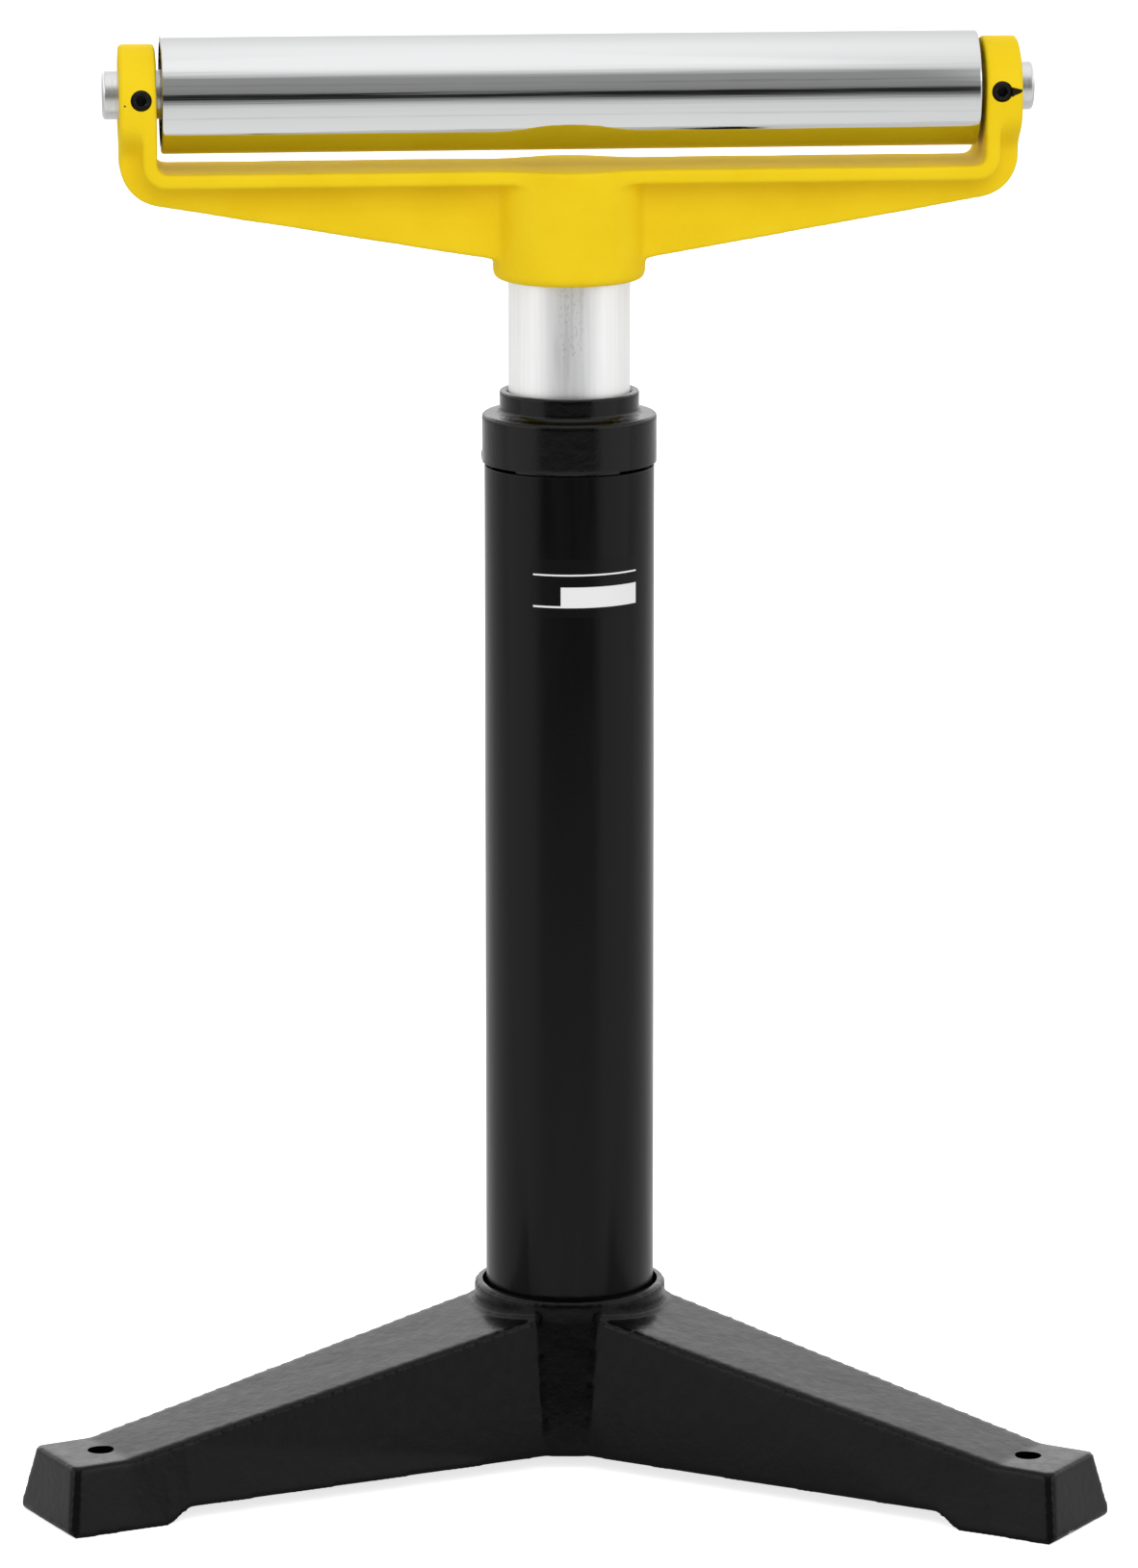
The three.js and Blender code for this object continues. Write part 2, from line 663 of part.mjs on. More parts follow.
function yokeCasting() {
  const half = yokeDepth / 2;
  const hub = revolve([
    [0, yokeHubBottom], [yokeHubRadius - yokeHubEdge, yokeHubBottom],
    [yokeHubRadius - yokeHubEdge * 0.3, yokeHubBottom + yokeHubEdge * 0.3],
    [yokeHubRadius, yokeHubBottom + yokeHubEdge], [yokeHubRadius, barTop - castingEdge],
    [yokeHubRadius - castingEdge, barTop], [0, barTop],
  ], largeSides);
  const body = joined([
    solid(hub),
    solid(prismAlongY(bandOutline(), -half, half, castingEdge)),
    solid(prismAlongY(webOutline(), -webThickness / 2, webThickness / 2, castingEdge)),
    solid(prismAlongX(earOutline(), earInner, earOuter, castingEdge, earSteps)),
    solid(prismAlongX(earOutline(), -earOuter, -earInner, castingEdge, earSteps)),
    solid(prism(swollenPlan(half, bulgeFillet), barTop - bandThickness, barTop, castingEdge)),
    solid(prism(swollenPlan(webThickness / 2, webFillet), barTop - webRootDrop, barTop - bandThickness / 2)),
  ]);
  const postBore = bar(yokeHubBore, yokeHubBottom - 1, barTop - yokeHubCap, largeSides);
  const axleBore = alongX(bar(axleHole, -earOuter - 1, earOuter + 1, mediumSides))
    .translate(0, 0, axleHeight);
  const axleScrewHoles = [-1, 1].map((side) => solid(
    alongY(bar(axleScrewDiameter / 2 + seatGap, -half - 1, 0, smallSides))
      .translate(side * axleScrewPlace, 0, axleHeight)));
  const hubScrewHoles = hubScrewAngles.map((angle) => solid(alongX(
    bar(hubScrewDiameter / 2 + seatGap, postRadius, yokeHubRadius + 1, smallSides))
    .translate(0, 0, hubScrewZ).rotateZ(angle)));
  return geometryOf(cut(body, [solid(postBore), solid(axleBore), ...axleScrewHoles, ...hubScrewHoles]));
}

// Fixed axle along X with a circlip groove outside each bearing.
const axleGroove = bearingOuterFace;
const axleGrooveWidth = axleCirclipThickness + 2 * seatGap;

function axle() {
  const deep = axleRadius - axleGrooveDepth;
  const right = [
    [axleRadius, axleGroove], [deep, axleGroove], [deep, axleGroove + axleGrooveWidth],
    [axleRadius, axleGroove + axleGrooveWidth], [axleRadius, axleHalf - axleChamfer],
    [axleRadius - axleChamfer, axleHalf], [0, axleHalf],
  ];
  const left = right.map(([radius, x]) => [radius, -x]).reverse();
  return geometryOf(solid(alongX(revolve([...left, ...right], mediumSides))));
}

// Chromed roller tube: counterbored at both ends for the bearings.
function rollerTube() {
  const end = rollerLength / 2;
  const shoulder = bearingInnerFace - seatGap;
  const right = [
    [rollerInnerRadius, shoulder], [rollerBore, shoulder], [rollerBore, end],
    [rollerRadius - rollerChamfer, end], [rollerRadius, end - rollerChamfer],
  ];
  const left = right.map(([radius, x]) => [radius, -x]).reverse();
  return geometryOf(solid(alongX(revolve([...left, ...right], largeSides))));
}

// Bearing pieces lie about their own middle, along X.
const grooveRadius = ballDiameter / 2 + ballGap;
const raceHalf = bearingWidth / 2;

// Ball groove of a race, from lip to lip, facing in (-1) or out (1).
function grooveArc(facing) {
  const reach = Math.acos(raceLip / grooveRadius);
  const start = facing * Math.PI / 2;
  return new THREE.EllipseCurve(0, 0, grooveRadius, grooveRadius, start - reach, start + reach, false)
    .getPoints(4).map((p) => [pitchRadius + p.y, p.x]);
}

function innerRace() {
  const inner = axleHole;
  const lip = pitchRadius - raceLip;
  const outline = [
    [inner, raceHalf], [inner, -raceHalf], [lip, -raceHalf],
    ...grooveArc(-1),
    [lip, raceHalf],
  ];
  return geometryOf(solid(alongX(revolve(outline, bearingSides))));
}

function outerRace() {
  const outer = bearingRadius;
  const lip = pitchRadius + raceLip;
  const outline = [
    [lip, -raceHalf], [outer - bearingChamfer, -raceHalf], [outer, -raceHalf + bearingChamfer],
    [outer, raceHalf - bearingChamfer], [outer - bearingChamfer, raceHalf], [lip, raceHalf],
    ...grooveArc(1),
  ];
  return geometryOf(solid(alongX(revolve(outline, bearingSides))));
}

function ballCage() {
  const ring = revolve([
    [pitchRadius - cageWall / 2, -cageWidth / 2], [pitchRadius + cageWall / 2, -cageWidth / 2],
    [pitchRadius + cageWall / 2, cageWidth / 2], [pitchRadius - cageWall / 2, cageWidth / 2],
  ], ballCount);
  const balls = Array.from({ length: ballCount }, (_, i) => solid(
    new THREE.SphereGeometry(ballDiameter / 2, 6, 4)
      .translate(0, -pitchRadius, 0).rotateZ((i * 2 * Math.PI) / ballCount)));
  return geometryOf(joined([solid(ring), ...balls])).rotateY(Math.PI / 2);
}

function seal() {
  const inner = pitchRadius - raceLip + seatGap;
  const outer = pitchRadius + raceLip - seatGap;
  const outline = [[inner, 0], [outer, 0], [outer, sealThickness], [inner, sealThickness]];
  return geometryOf(solid(alongX(revolve(outline, bearingSides))));
}

// Assembly
const rollerStand = new THREE.Group();
rollerStand.position.set(0, -originY, 0);

const head = new THREE.Group();
head.rotation.z = restSwivel;
rollerStand.add(head);

const axleLine = new THREE.Group();
axleLine.position.set(0, 0, axleHeight);
head.add(axleLine);

const lever = new THREE.Group();
lever.position.set(0, clampAxisY, flangeMiddle);
lever.rotation.x = leverRestAngle;
rollerStand.add(lever);

const clamp = new THREE.Group();
clamp.position.set(0, clampAxisY, flangeMiddle);
rollerStand.add(clamp);

function place(parent, name, geometry, finish) {
  const mesh = new THREE.Mesh(geometry, new THREE.MeshStandardMaterial(finishes[finish]));
  mesh.name = name;
  parent.add(mesh);
  return mesh;
}

place(rollerStand, 'base_casting', baseCasting(), 'blackCasting');
place(rollerStand, 'column_tube', tube(columnRadius, columnBore, columnBottom, columnTop), 'blackPaint');
place(rollerStand, 'clamp_collar', clampCollar(), 'blackCasting');
place(rollerStand, 'post_guide_bush', guideBush(), 'palePlastic');
place(clamp, 'clamp_bolt', clampBolt(), 'zincSteel');
place(clamp, 'clamp_washer', clampWasher(), 'zincSteel');
place(lever, 'clamp_lever', clampLever(), 'blackSteel');
place(lever, 'lever_knob', leverKnob(), 'blackPlastic');
place(head, 'post_tube', postTube(), 'zincSteel');
place(head, 'yoke_casting', yokeCasting(), 'yellowPaint');
place(axleLine, 'axle', axle(), 'zincSteel');
place(axleLine, 'roller_tube', rollerTube(), 'chrome');

const bushClips = { bush_circlip_lower: lowerGroove, bush_circlip_upper: upperGroove };
Object.entries(bushClips).forEach(([name, z]) => {
  const inner = postRadius - bushGrooveDepth + seatGap;
  const outer = postRadius - bushGrooveDepth + bushCirclipRise;
  place(head, name, circlip(inner, outer, bushCirclipThickness), 'blackSteel').position.z = z + seatGap;
});

const sides = { left: -1, right: 1 };
Object.entries(sides).forEach(([name, side], i) => {
  const baseScrew = place(rollerStand, `base_set_screw_${name}`,
    setScrew(baseScrewDiameter, baseScrewLength), 'blackSteel');
  const baseAngle = baseScrewAngles[1 - i];
  baseScrew.position.set(baseScrewTip * Math.cos(baseAngle), baseScrewTip * Math.sin(baseAngle), baseScrewZ);
  baseScrew.rotation.set(0, Math.PI / 2, baseAngle, 'ZYX');

  const hubScrew = place(head, `hub_set_screw_${name}`,
    setScrew(hubScrewDiameter, hubScrewLength), 'blackSteel');
  const hubAngle = hubScrewAngles[1 - i];
  hubScrew.position.set(hubScrewTip * Math.cos(hubAngle), hubScrewTip * Math.sin(hubAngle), hubScrewZ);
  hubScrew.rotation.set(0, Math.PI / 2, hubAngle, 'ZYX');

  const axleScrew = place(axleLine, `axle_set_screw_${name}`,
    setScrew(axleScrewDiameter, axleScrewLength), 'blackSteel');
  axleScrew.position.set(side * axleScrewPlace, -axleScrewTip, 0);
  axleScrew.rotation.x = Math.PI / 2;

  const clip = circlip(axleRadius - axleGrooveDepth + seatGap,
    axleRadius - axleGrooveDepth + axleCirclipRise, axleCirclipThickness);
  const axleClip = place(axleLine, `axle_circlip_${name}`, clip, 'blackSteel');
  axleClip.position.x = side * (axleGroove + seatGap + (side < 0 ? axleCirclipThickness : 0));
  axleClip.rotation.y = Math.PI / 2;

  const bearing = new THREE.Group();
  bearing.position.x = side * bearingMiddle;
  axleLine.add(bearing);
  place(bearing, `bearing_inner_race_${name}`, innerRace(), 'bearingSteel');
  place(bearing, `bearing_ball_cage_${name}`, ballCage(), 'bearingSteel');
  place(bearing, `bearing_outer_race_${name}`, outerRace(), 'bearingSteel');
  const sealAt = raceHalf - sealInset - sealThickness;
  place(bearing, `bearing_seal_${name}_a`, seal(), 'blackRubber').position.x = sealAt;
  place(bearing, `bearing_seal_${name}_b`, seal(), 'blackRubber').position.x = -sealAt - sealThickness;
});

export default rollerStand;
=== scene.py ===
"""Roller stand: refined pieces, finishes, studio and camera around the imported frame."""
import math

import bmesh
import bpy
from mathutils import Matrix, Vector, noise


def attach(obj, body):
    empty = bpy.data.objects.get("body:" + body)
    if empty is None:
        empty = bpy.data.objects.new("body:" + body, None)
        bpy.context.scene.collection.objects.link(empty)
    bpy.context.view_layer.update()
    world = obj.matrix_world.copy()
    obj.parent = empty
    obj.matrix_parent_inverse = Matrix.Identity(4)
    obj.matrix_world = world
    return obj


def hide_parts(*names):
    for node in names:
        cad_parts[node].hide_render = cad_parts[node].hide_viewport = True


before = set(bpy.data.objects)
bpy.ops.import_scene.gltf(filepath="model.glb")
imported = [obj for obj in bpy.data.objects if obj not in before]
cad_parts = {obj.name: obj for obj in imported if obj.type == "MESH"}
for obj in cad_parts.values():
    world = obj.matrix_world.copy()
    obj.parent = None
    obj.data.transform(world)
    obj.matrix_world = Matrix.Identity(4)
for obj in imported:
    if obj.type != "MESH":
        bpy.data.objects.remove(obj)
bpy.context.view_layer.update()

# Millimetres, in the stand's own frame: column axis at X = Y = 0, floor at Z = 0, front towards -Y.
COLUMN_AXIS_Y = -50.3695
REST_SWIVEL = math.radians(6.2)
SEAT_GAP = 0.3

COLUMN_RADIUS = 35.0
COLUMN_BORE = 32.0
COLUMN_BOTTOM = 14.3
COLUMN_TOP = 418.3

POST_RADIUS = 25.0
POST_BORE = 21.5
POST_BOTTOM = 75.5
POST_TOP = 532.4
GUIDE_BORE = 25.43
BUSH_RADIUS = 31.7
BUSH_BOTTOM = 81.9
BUSH_TOP = 111.6
CLIP_GROOVES = (79.5, 111.9)
CLIP_GROOVE_WIDTH = 2.4
CLIP_GROOVE_RADIUS = 24.0

HUB_FOOT_RADIUS = 44.0
RIM_RADIUS = 40.0
RIM_BORE = 36.7
RIM_TOP = 71.8
RIM_DEPTH = 12.0
UNDERSIDE = 6.0
SOCKET_FLOOR = 14.0
LEG_ROOT_TOP = 62.4
LEG_ROOT_HALF = 27.0
LEG_ROOT_FOOT_HALF = 32.8
FOOT_REACH = 244.0
FOOT_LEAN = 4.6
FOOT_TOP = 27.8
FOOT_LENGTH = 24.4
FOOT_HALF = 19.2
FOOT_SOLE_HALF = 25.8
PAD_MIDDLE = 195.0
PAD_RUN = 9.0
LEG_WALL = 7.0
LEG_ROOF = 8.0
FOOT_HOLE_RADIUS = 5.4
FOOT_HOLE_REACH = 218.5
LEG_ANGLES = [math.radians(a) for a in (90.0, 210.0, 330.0)]

SPIGOT_RADIUS = 31.7
SPIGOT_BOTTOM = 374.3
FLANGE_RADIUS = 36.0
FLANGE_BOTTOM = 419.8
FLANGE_TOP = 439.8
NECK_RADIUS = 28.73
NECK_TOP = 449.2
SAW_BRIDGE = math.radians(73.0)
SPLIT_WIDTH = 3.0
LUG_OUTER = 12.5
CLAMP_Y = 50.0
CLAMP_Z = 429.8
CLAMP_HOLE = 5.3

YOKE_HUB_RADIUS = 31.2
YOKE_HUB_BOTTOM = 495.2
YOKE_HUB_EDGE = 3.5
YOKE_BORE = 25.3
BAR_TOP = 542.2
BAND = 6.0
BAND_CORNER = 4.0
YOKE_HALF_DEPTH = 22.5
WEB_HALF = 10.0
WEB_ROOT_DROP = 37.8
WEB_TIP_DROP = 11.8
WEB_FILLET = 5.0
BULGE_FILLET = 40.0
POST_CAP = 9.5
EAR_INNER = 168.55
EAR_OUTER = 183.55
EAR_DROP = 2.0
EAR_SKIRT = 9.0
EAR_FADE = 20.0
EAR_CORNER = 18.0
AXLE_HEIGHT = 572.5
AXLE_RADIUS = 10.0
AXLE_HOLE = 10.3
AXLE_HALF = 190.0
ROLLER_RADIUS = 24.15
ROLLER_BORE = 21.3
ROLLER_INNER = 19.0
ROLLER_HALF = 166.5
BEARING_OUTER_FACE = 162.5
BEARING_INNER_FACE = 150.5
BEARING_RADIUS = 21.0
PITCH_RADIUS = 15.5
RACE_LIP = 2.1

# Places of the pieces: the stand's frame, the swivelled head, the axle line and the clamp.
METRES = Matrix.Scale(0.001, 4)
STAND = METRES @ Matrix.Translation((0.0, COLUMN_AXIS_Y, 0.0))
HEAD = STAND @ Matrix.Rotation(REST_SWIVEL, 4, "Z")
ALONG_X = Matrix.Rotation(math.pi / 2, 4, "Y")
AXLE_LINE = HEAD @ Matrix.Translation((0.0, 0.0, AXLE_HEIGHT)) @ ALONG_X
CLAMP = STAND @ Matrix.Translation((0.0, CLAMP_Y, CLAMP_Z))
CLAMP_LINE = CLAMP @ ALONG_X
LEVER = CLAMP @ Matrix.Rotation(math.radians(15.0), 4, "X")


# Shells: lists of points and faces, in millimetres.


def arc(x, y, radius, start, end, steps):
    """Points of a circular arc, both ends included, angles in radians."""
    turn = (end - start) / steps
    return [(x + radius * math.cos(start + turn * i), y + radius * math.sin(start + turn * i))
            for i in range(steps + 1)]


def turned(outline, sides):
    """Round shell about Z from (radius, height) pairs: axis to axis, or a closed loop off the axis."""
    points, rows = [], []
    for radius, height in outline:
        if radius == 0:
            rows.append([len(points)] * sides)
            points.append((0.0, 0.0, height))
            continue
        rows.append(list(range(len(points), len(points) + sides)))
        for i in range(sides):
            angle = 2 * math.pi * i / sides
            points.append((radius * math.cos(angle), radius * math.sin(angle), height))
    following = rows[1:] + ([] if outline[0][0] == 0 else rows[:1])
    faces = []
    for low, high in zip(rows, following):
        for i in range(sides):
            j = (i + 1) % sides
            corners = list(dict.fromkeys((low[i], low[j], high[j], high[i])))
            faces.append(corners)
    return points, [f for f in faces if len(f) > 2]


def softened(outline, size, steps=4):
    """The same closed outline with each corner rounded off by size."""
    soft = []
    count = len(outline)
    for i, corner in enumerate(outline):
        here = Vector(corner)
        before = Vector(outline[i - 1]) - here
        after = Vector(outline[(i + 1) % count]) - here
        reach = min(size, before.length * 0.45, after.length * 0.45)
        start = here + before.normalized() * reach
        end = here + after.normalized() * reach
        for k in range(steps + 1):
            t = k / steps
            soft.append(tuple((1 - t) ** 2 * start + 2 * t * (1 - t) * here + t * t * end))
    return soft


def bar(radius, low, high, sides=64):
    return turned([(0, low), (radius, low), (radius, high), (0, high)], sides)


def loft(rings):
    """Closed skin over a row of rings with equal numbers of points."""
    count = len(rings[0])
    points = [p for ring in rings for p in ring]
    faces = [list(range(count)), list(range(len(points) - count, len(points)))]
    for row in range(len(rings) - 1):
        for j in range(count):
            k = (j + 1) % count
            faces.append([row * count + j, row * count + k, (row + 1) * count + k, (row + 1) * count + j])
    return points, faces


def prism(outline, low, high, lay=lambda a, b, t: (a, b, t)):
    """An outline pulled from low to high; lay says which way it lies."""
    return loft([[lay(a, b, t) for a, b in outline] for t in (low, high)])


def across_y(a, b, t):
    return (a, t, b)


def across_x(a, b, t):
    return (t, a, b)


def moved(shell, matrix):
    points, faces = shell
    return [tuple(matrix @ Vector(p)) for p in points], faces


def about_z(shell, angle):
    return moved(shell, Matrix.Rotation(angle, 4, "Z"))


def along_x(shell):
    return moved(shell, ALONG_X)


# Meshes and pieces


def mesh_of(name, shells, matrix=Matrix.Identity(4)):
    """One mesh of several shells, faces outwards."""
    build = bmesh.new()
    for points, faces in shells:
        corners = [build.verts.new(matrix @ Vector(p)) for p in points]
        for face in faces:
            build.faces.new([corners[i] for i in face])
    bmesh.ops.recalc_face_normals(build, faces=build.faces)
    mesh = bpy.data.meshes.new(name)
    build.to_mesh(mesh)
    build.free()
    return mesh


def finished(mesh, material, crease=34.0):
    """Smooth shading with crisp arrises, and the finish."""
    mesh.shade_smooth()
    mesh.set_sharp_from_angle(angle=math.radians(crease))
    if not mesh.materials:
        mesh.materials.append(material)
    mesh.materials[0] = material
    return mesh


def shown(name, mesh):
    made = bpy.data.objects.new(name, mesh)
    bpy.context.scene.collection.objects.link(made)
    return made


def settled(made):
    """Plain mesh of an object with its modifiers applied; the object itself goes."""
    view = bpy.context.evaluated_depsgraph_get()
    mesh = bpy.data.meshes.new_from_object(made.evaluated_get(view))
    bpy.data.objects.remove(made)
    return mesh


def piece(name, mesh, body, slot, *nodes):
    """A finished piece on its body, standing for the CAD nodes it refines."""
    made = shown(name, mesh)
    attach(made, body)
    if nodes:
        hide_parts(*nodes)
    return made


def turned_piece(name, outline, sides, matrix, material, body, slot, *nodes):
    mesh = finished(mesh_of(name, [turned(outline, sides)], matrix), material)
    return piece(name, mesh, body, slot, *nodes)


def cast(name, shells, cuts, voxel, rounds, waviness, matrix, material):
    """Casting: shells fused on a fine grid, edges softened, skin slightly uneven, machined cuts crisp."""
    rough = shown(name, mesh_of(name, shells))
    fuse = rough.modifiers.new("fuse", "REMESH")
    fuse.mode = "VOXEL"
    fuse.voxel_size = voxel
    ease = rough.modifiers.new("ease", "SMOOTH")
    ease.factor = 0.5
    ease.iterations = rounds
    skin = settled(rough)
    spots = [v.co.copy() for v in skin.vertices]
    normals = [v.normal.copy() for v in skin.vertices]
    for i, (spot, normal) in enumerate(zip(spots, normals)):
        swell = noise.noise(spot / 19.0) + 0.3 * noise.noise(spot / 4.5)
        spots[i] = spot + normal * (swell * waviness)
    skin.vertices.foreach_set("co", [c for spot in spots for c in spot])
    body = shown(name, skin)
    tools = []
    for cut in cuts:
        tool = shown("cut", mesh_of("cut", [cut]))
        take = body.modifiers.new("machine", "BOOLEAN")
        take.operation = "DIFFERENCE"
        take.solver = "MANIFOLD"
        take.object = tool
        tools.append(tool)
    whole = settled(body)
    for tool in tools:
        bpy.data.objects.remove(tool)
    whole.transform(matrix)
    return finished(whole, material, 40.0)


# Finishes


class Finish:
    """A painted or bare surface: one shader, with its grain laid out on Object coordinates."""

    def __init__(self, name, colour, metallic, roughness, **sockets):
        self.material = bpy.data.materials.new(name)
        self.material.use_nodes = True
        self.tree = self.material.node_tree
        self.shader = self.tree.nodes["Principled BSDF"]
        self.shader.inputs["Base Color"].default_value = (*colour, 1.0)
        self.shader.inputs["Metallic"].default_value = metallic
        self.shader.inputs["Roughness"].default_value = roughness
        for socket, value in sockets.items():
            self.shader.inputs[socket.replace("_", " ")].default_value = value
        self.place = self.tree.nodes.new("ShaderNodeTexCoord").outputs["Object"]
        self.bumps = None

    def node(self, kind, settings=(), **inputs):
        made = self.tree.nodes.new(kind)
        for key, value in dict(settings).items():
            setattr(made, key, value)
        for label, value in inputs.items():
            self.feed(made.inputs[label.replace("_", " ")], value)
        return made

    def feed(self, socket, value):
        if isinstance(value, bpy.types.NodeSocket):
            self.tree.links.new(value, socket)
        else:
            socket.default_value = value

    def grain(self, size, detail=2.0, turn=0.0, roughness=0.5):
        """Noise of the given grain size in millimetres, one number or one for each axis."""
        sizes = size if isinstance(size, tuple) else (size,) * 3
        spread = self.node("ShaderNodeMapping", {"vector_type": "TEXTURE"}, Vector=self.place,
                           Rotation=(0.0, 0.0, turn), Scale=tuple(s * 0.001 for s in sizes))
        made = self.node("ShaderNodeTexNoise", Vector=spread.outputs[0], Scale=1.0, Detail=detail,
                         Roughness=roughness)
        return made.outputs["Fac"]

    def ranged(self, value, low, high, to_low, to_high, smooth=True):
        kind = {"interpolation_type": "SMOOTHSTEP" if smooth else "LINEAR"}
        made = self.node("ShaderNodeMapRange", kind, Value=value, From_Min=low, From_Max=high,
                         To_Min=to_low, To_Max=to_high)
        return made.outputs[0]

    def mixed(self, share, first, second):
        made = self.tree.nodes.new("ShaderNodeMix")
        made.data_type = "RGBA"
        self.feed(made.inputs[0], share)
        for socket, colour in ((made.inputs[6], first), (made.inputs[7], second)):
            self.feed(socket, (*colour, 1.0) if isinstance(colour, tuple) else colour)
        return made.outputs[2]

    def math(self, operation, *values):
        made = self.node("ShaderNodeMath", {"operation": operation})
        for socket, value in zip(made.inputs, values):
            self.feed(socket, value)
        return made.outputs[0]

    def near(self, spots):
        """Distance to the edge of the nearest of several round spots (place, radius), in metres."""
        least = None
        for spot, radius in spots:
            reach = self.node("ShaderNodeVectorMath", {"operation": "DISTANCE"})
            self.feed(reach.inputs[0], self.place)
            reach.inputs[1].default_value = spot
            gap = self.math("SUBTRACT", reach.outputs["Value"], radius)
            least = gap if least is None else self.math("MINIMUM", least, gap)
        return least

    def relief(self, height, depth):
        """Bump of the given depth in millimetres, on top of the bumps so far."""
        made = self.node("ShaderNodeBump", Height=height, Strength=1.0, Distance=depth * 0.001)
        if self.bumps:
            self.feed(made.inputs["Normal"], self.bumps)
        self.bumps = made.outputs[0]
        self.feed(self.shader.inputs["Normal"], self.bumps)

    def colour(self, value):
        self.feed(self.shader.inputs["Base Color"], value)

    def roughness(self, value):
        self.feed(self.shader.inputs["Roughness"], value)


def head_spot(x, y, z):
    """A spot on the head, in metres in the part's frame."""
    return tuple(HEAD @ Vector((x, y, z)))


def foot_edge_spot(side, z):
    """A spot on the lower end edge of the right front foot, in metres in the part's frame."""
    return tuple(STAND @ Matrix.Rotation(LEG_ANGLES[2], 4, "Z") @ Vector((FOOT_REACH - 0.3, side, z)))


def yellow_enamel():
    paint = Finish("yellow_enamel", (0.92, 0.65, 0.013), 0.0, 0.5, Specular_IOR_Level=0.0, Coat_Weight=0.12,
                   Coat_Roughness=0.25)
    cloud = paint.ranged(paint.grain(26.0, 3.0), 0.3, 0.7, 0.0, 1.0)
    coat = paint.mixed(cloud, (0.90, 0.63, 0.011), (0.94, 0.67, 0.015))
    chips = [(178.8, 572.4, 1.9), (180.2, 572.6, 1.4), (181.4, 572.8, 1.0), (182.6, 572.9, 0.7),
             (-181.4, 570.5, 0.35), (-180.3, 580.4, 0.2)]
    spots = [(head_spot(x, -22.4, z), radius * 0.001) for x, z, radius in chips]
    ragged = paint.math("MULTIPLY_ADD", paint.grain(1.4, 3.0), 0.0012, -0.0006)
    chip = paint.ranged(paint.math("ADD", paint.near(spots), ragged), -0.0001, 0.0002, 1.0, 0.0)
    paint.colour(paint.mixed(chip, coat, (0.020, 0.016, 0.010)))
    paint.roughness(paint.ranged(paint.grain(7.0, 3.0), 0.3, 0.7, 0.44, 0.56))
    paint.relief(paint.grain(3.2, 1.0), 0.16)
    paint.relief(paint.grain(0.9, 2.0), 0.035)
    paint.relief(chip, -0.08)
    return paint.material


def black_casting():
    paint = Finish("black_casting_enamel", (0.0015, 0.0015, 0.0015), 0.0, 0.2, Specular_IOR_Level=0.19)
    dust = paint.ranged(paint.grain(1.1, 4.0, roughness=0.7), 0.58, 0.8, 0.0, 1.0)
    coat = paint.mixed(dust, (0.0006, 0.0006, 0.0006), (0.004, 0.004, 0.004))
    knocks = [(-10.0, 0.9, 1.3), (-7.6, 1.4, 0.7), (-13.5, 0.5, 0.6)]
    spots = [(foot_edge_spot(side, z), radius * 0.001) for side, z, radius in knocks]
    ragged = paint.math("MULTIPLY_ADD", paint.grain(1.2, 3.0), 0.0014, -0.0007)
    bare = paint.ranged(paint.math("ADD", paint.near(spots), ragged), -0.0001, 0.0002, 1.0, 0.0)
    paint.colour(paint.mixed(bare, coat, (0.55, 0.54, 0.52)))
    paint.roughness(paint.ranged(paint.grain(5.0, 4.0), 0.3, 0.7, 0.14, 0.26))
    paint.relief(paint.grain(2.6, 1.0), 0.06)
    paint.relief(paint.grain(0.8, 3.0), 0.02)
    return paint.material


def collar_enamel():
    paint = Finish("collar_enamel", (0.0006, 0.0006, 0.0006), 0.0, 0.16, Specular_IOR_Level=0.27)
    paint.roughness(paint.ranged(paint.grain(4.0, 3.0), 0.3, 0.7, 0.10, 0.20))
    paint.relief(paint.grain(3.0, 1.0), 0.06)
    paint.relief(paint.grain(0.9, 2.0), 0.024)
    return paint.material


# Painted shade inside the collar's saw cut: dead black with no specular, so the slit renders black the way its own
# shadow would make it.
def saw_cut_shade():
    scale = Finish("saw_cut_shade", (0.001, 0.001, 0.001), 0.0, 0.8, Specular_IOR_Level=0.0)
    scale.roughness(scale.ranged(scale.grain(1.5, 2.0), 0.3, 0.7, 0.7, 0.9))
    scale.relief(scale.grain(0.7, 2.0), 0.02)
    return scale.material


def column_enamel():
    paint = Finish("column_enamel", (0.0032, 0.0032, 0.0032), 0.0, 0.2, Specular_IOR_Level=0.175)
    paint.roughness(paint.ranged(paint.grain((6.0, 6.0, 60.0), 3.0), 0.3, 0.7, 0.16, 0.26))
    paint.relief(paint.grain((5.0, 5.0, 40.0), 1.0), 0.05)
    paint.relief(paint.grain(1.3, 2.0), 0.012)
    return paint.material


def roller_chrome():
    plate = Finish("roller_chrome", (0.64, 0.644, 0.648), 1.0, 0.045)
    plate.roughness(plate.ranged(plate.grain((60.0, 2.0, 2.0), 3.0, REST_SWIVEL), 0.3, 0.7, 0.03, 0.075))
    plate.relief(plate.grain((420.0, 5.0, 5.0), 2.0, REST_SWIVEL), 0.10)
    plate.relief(plate.grain((70.0, 1.0, 1.0), 2.0, REST_SWIVEL), 0.026)
    return plate.material


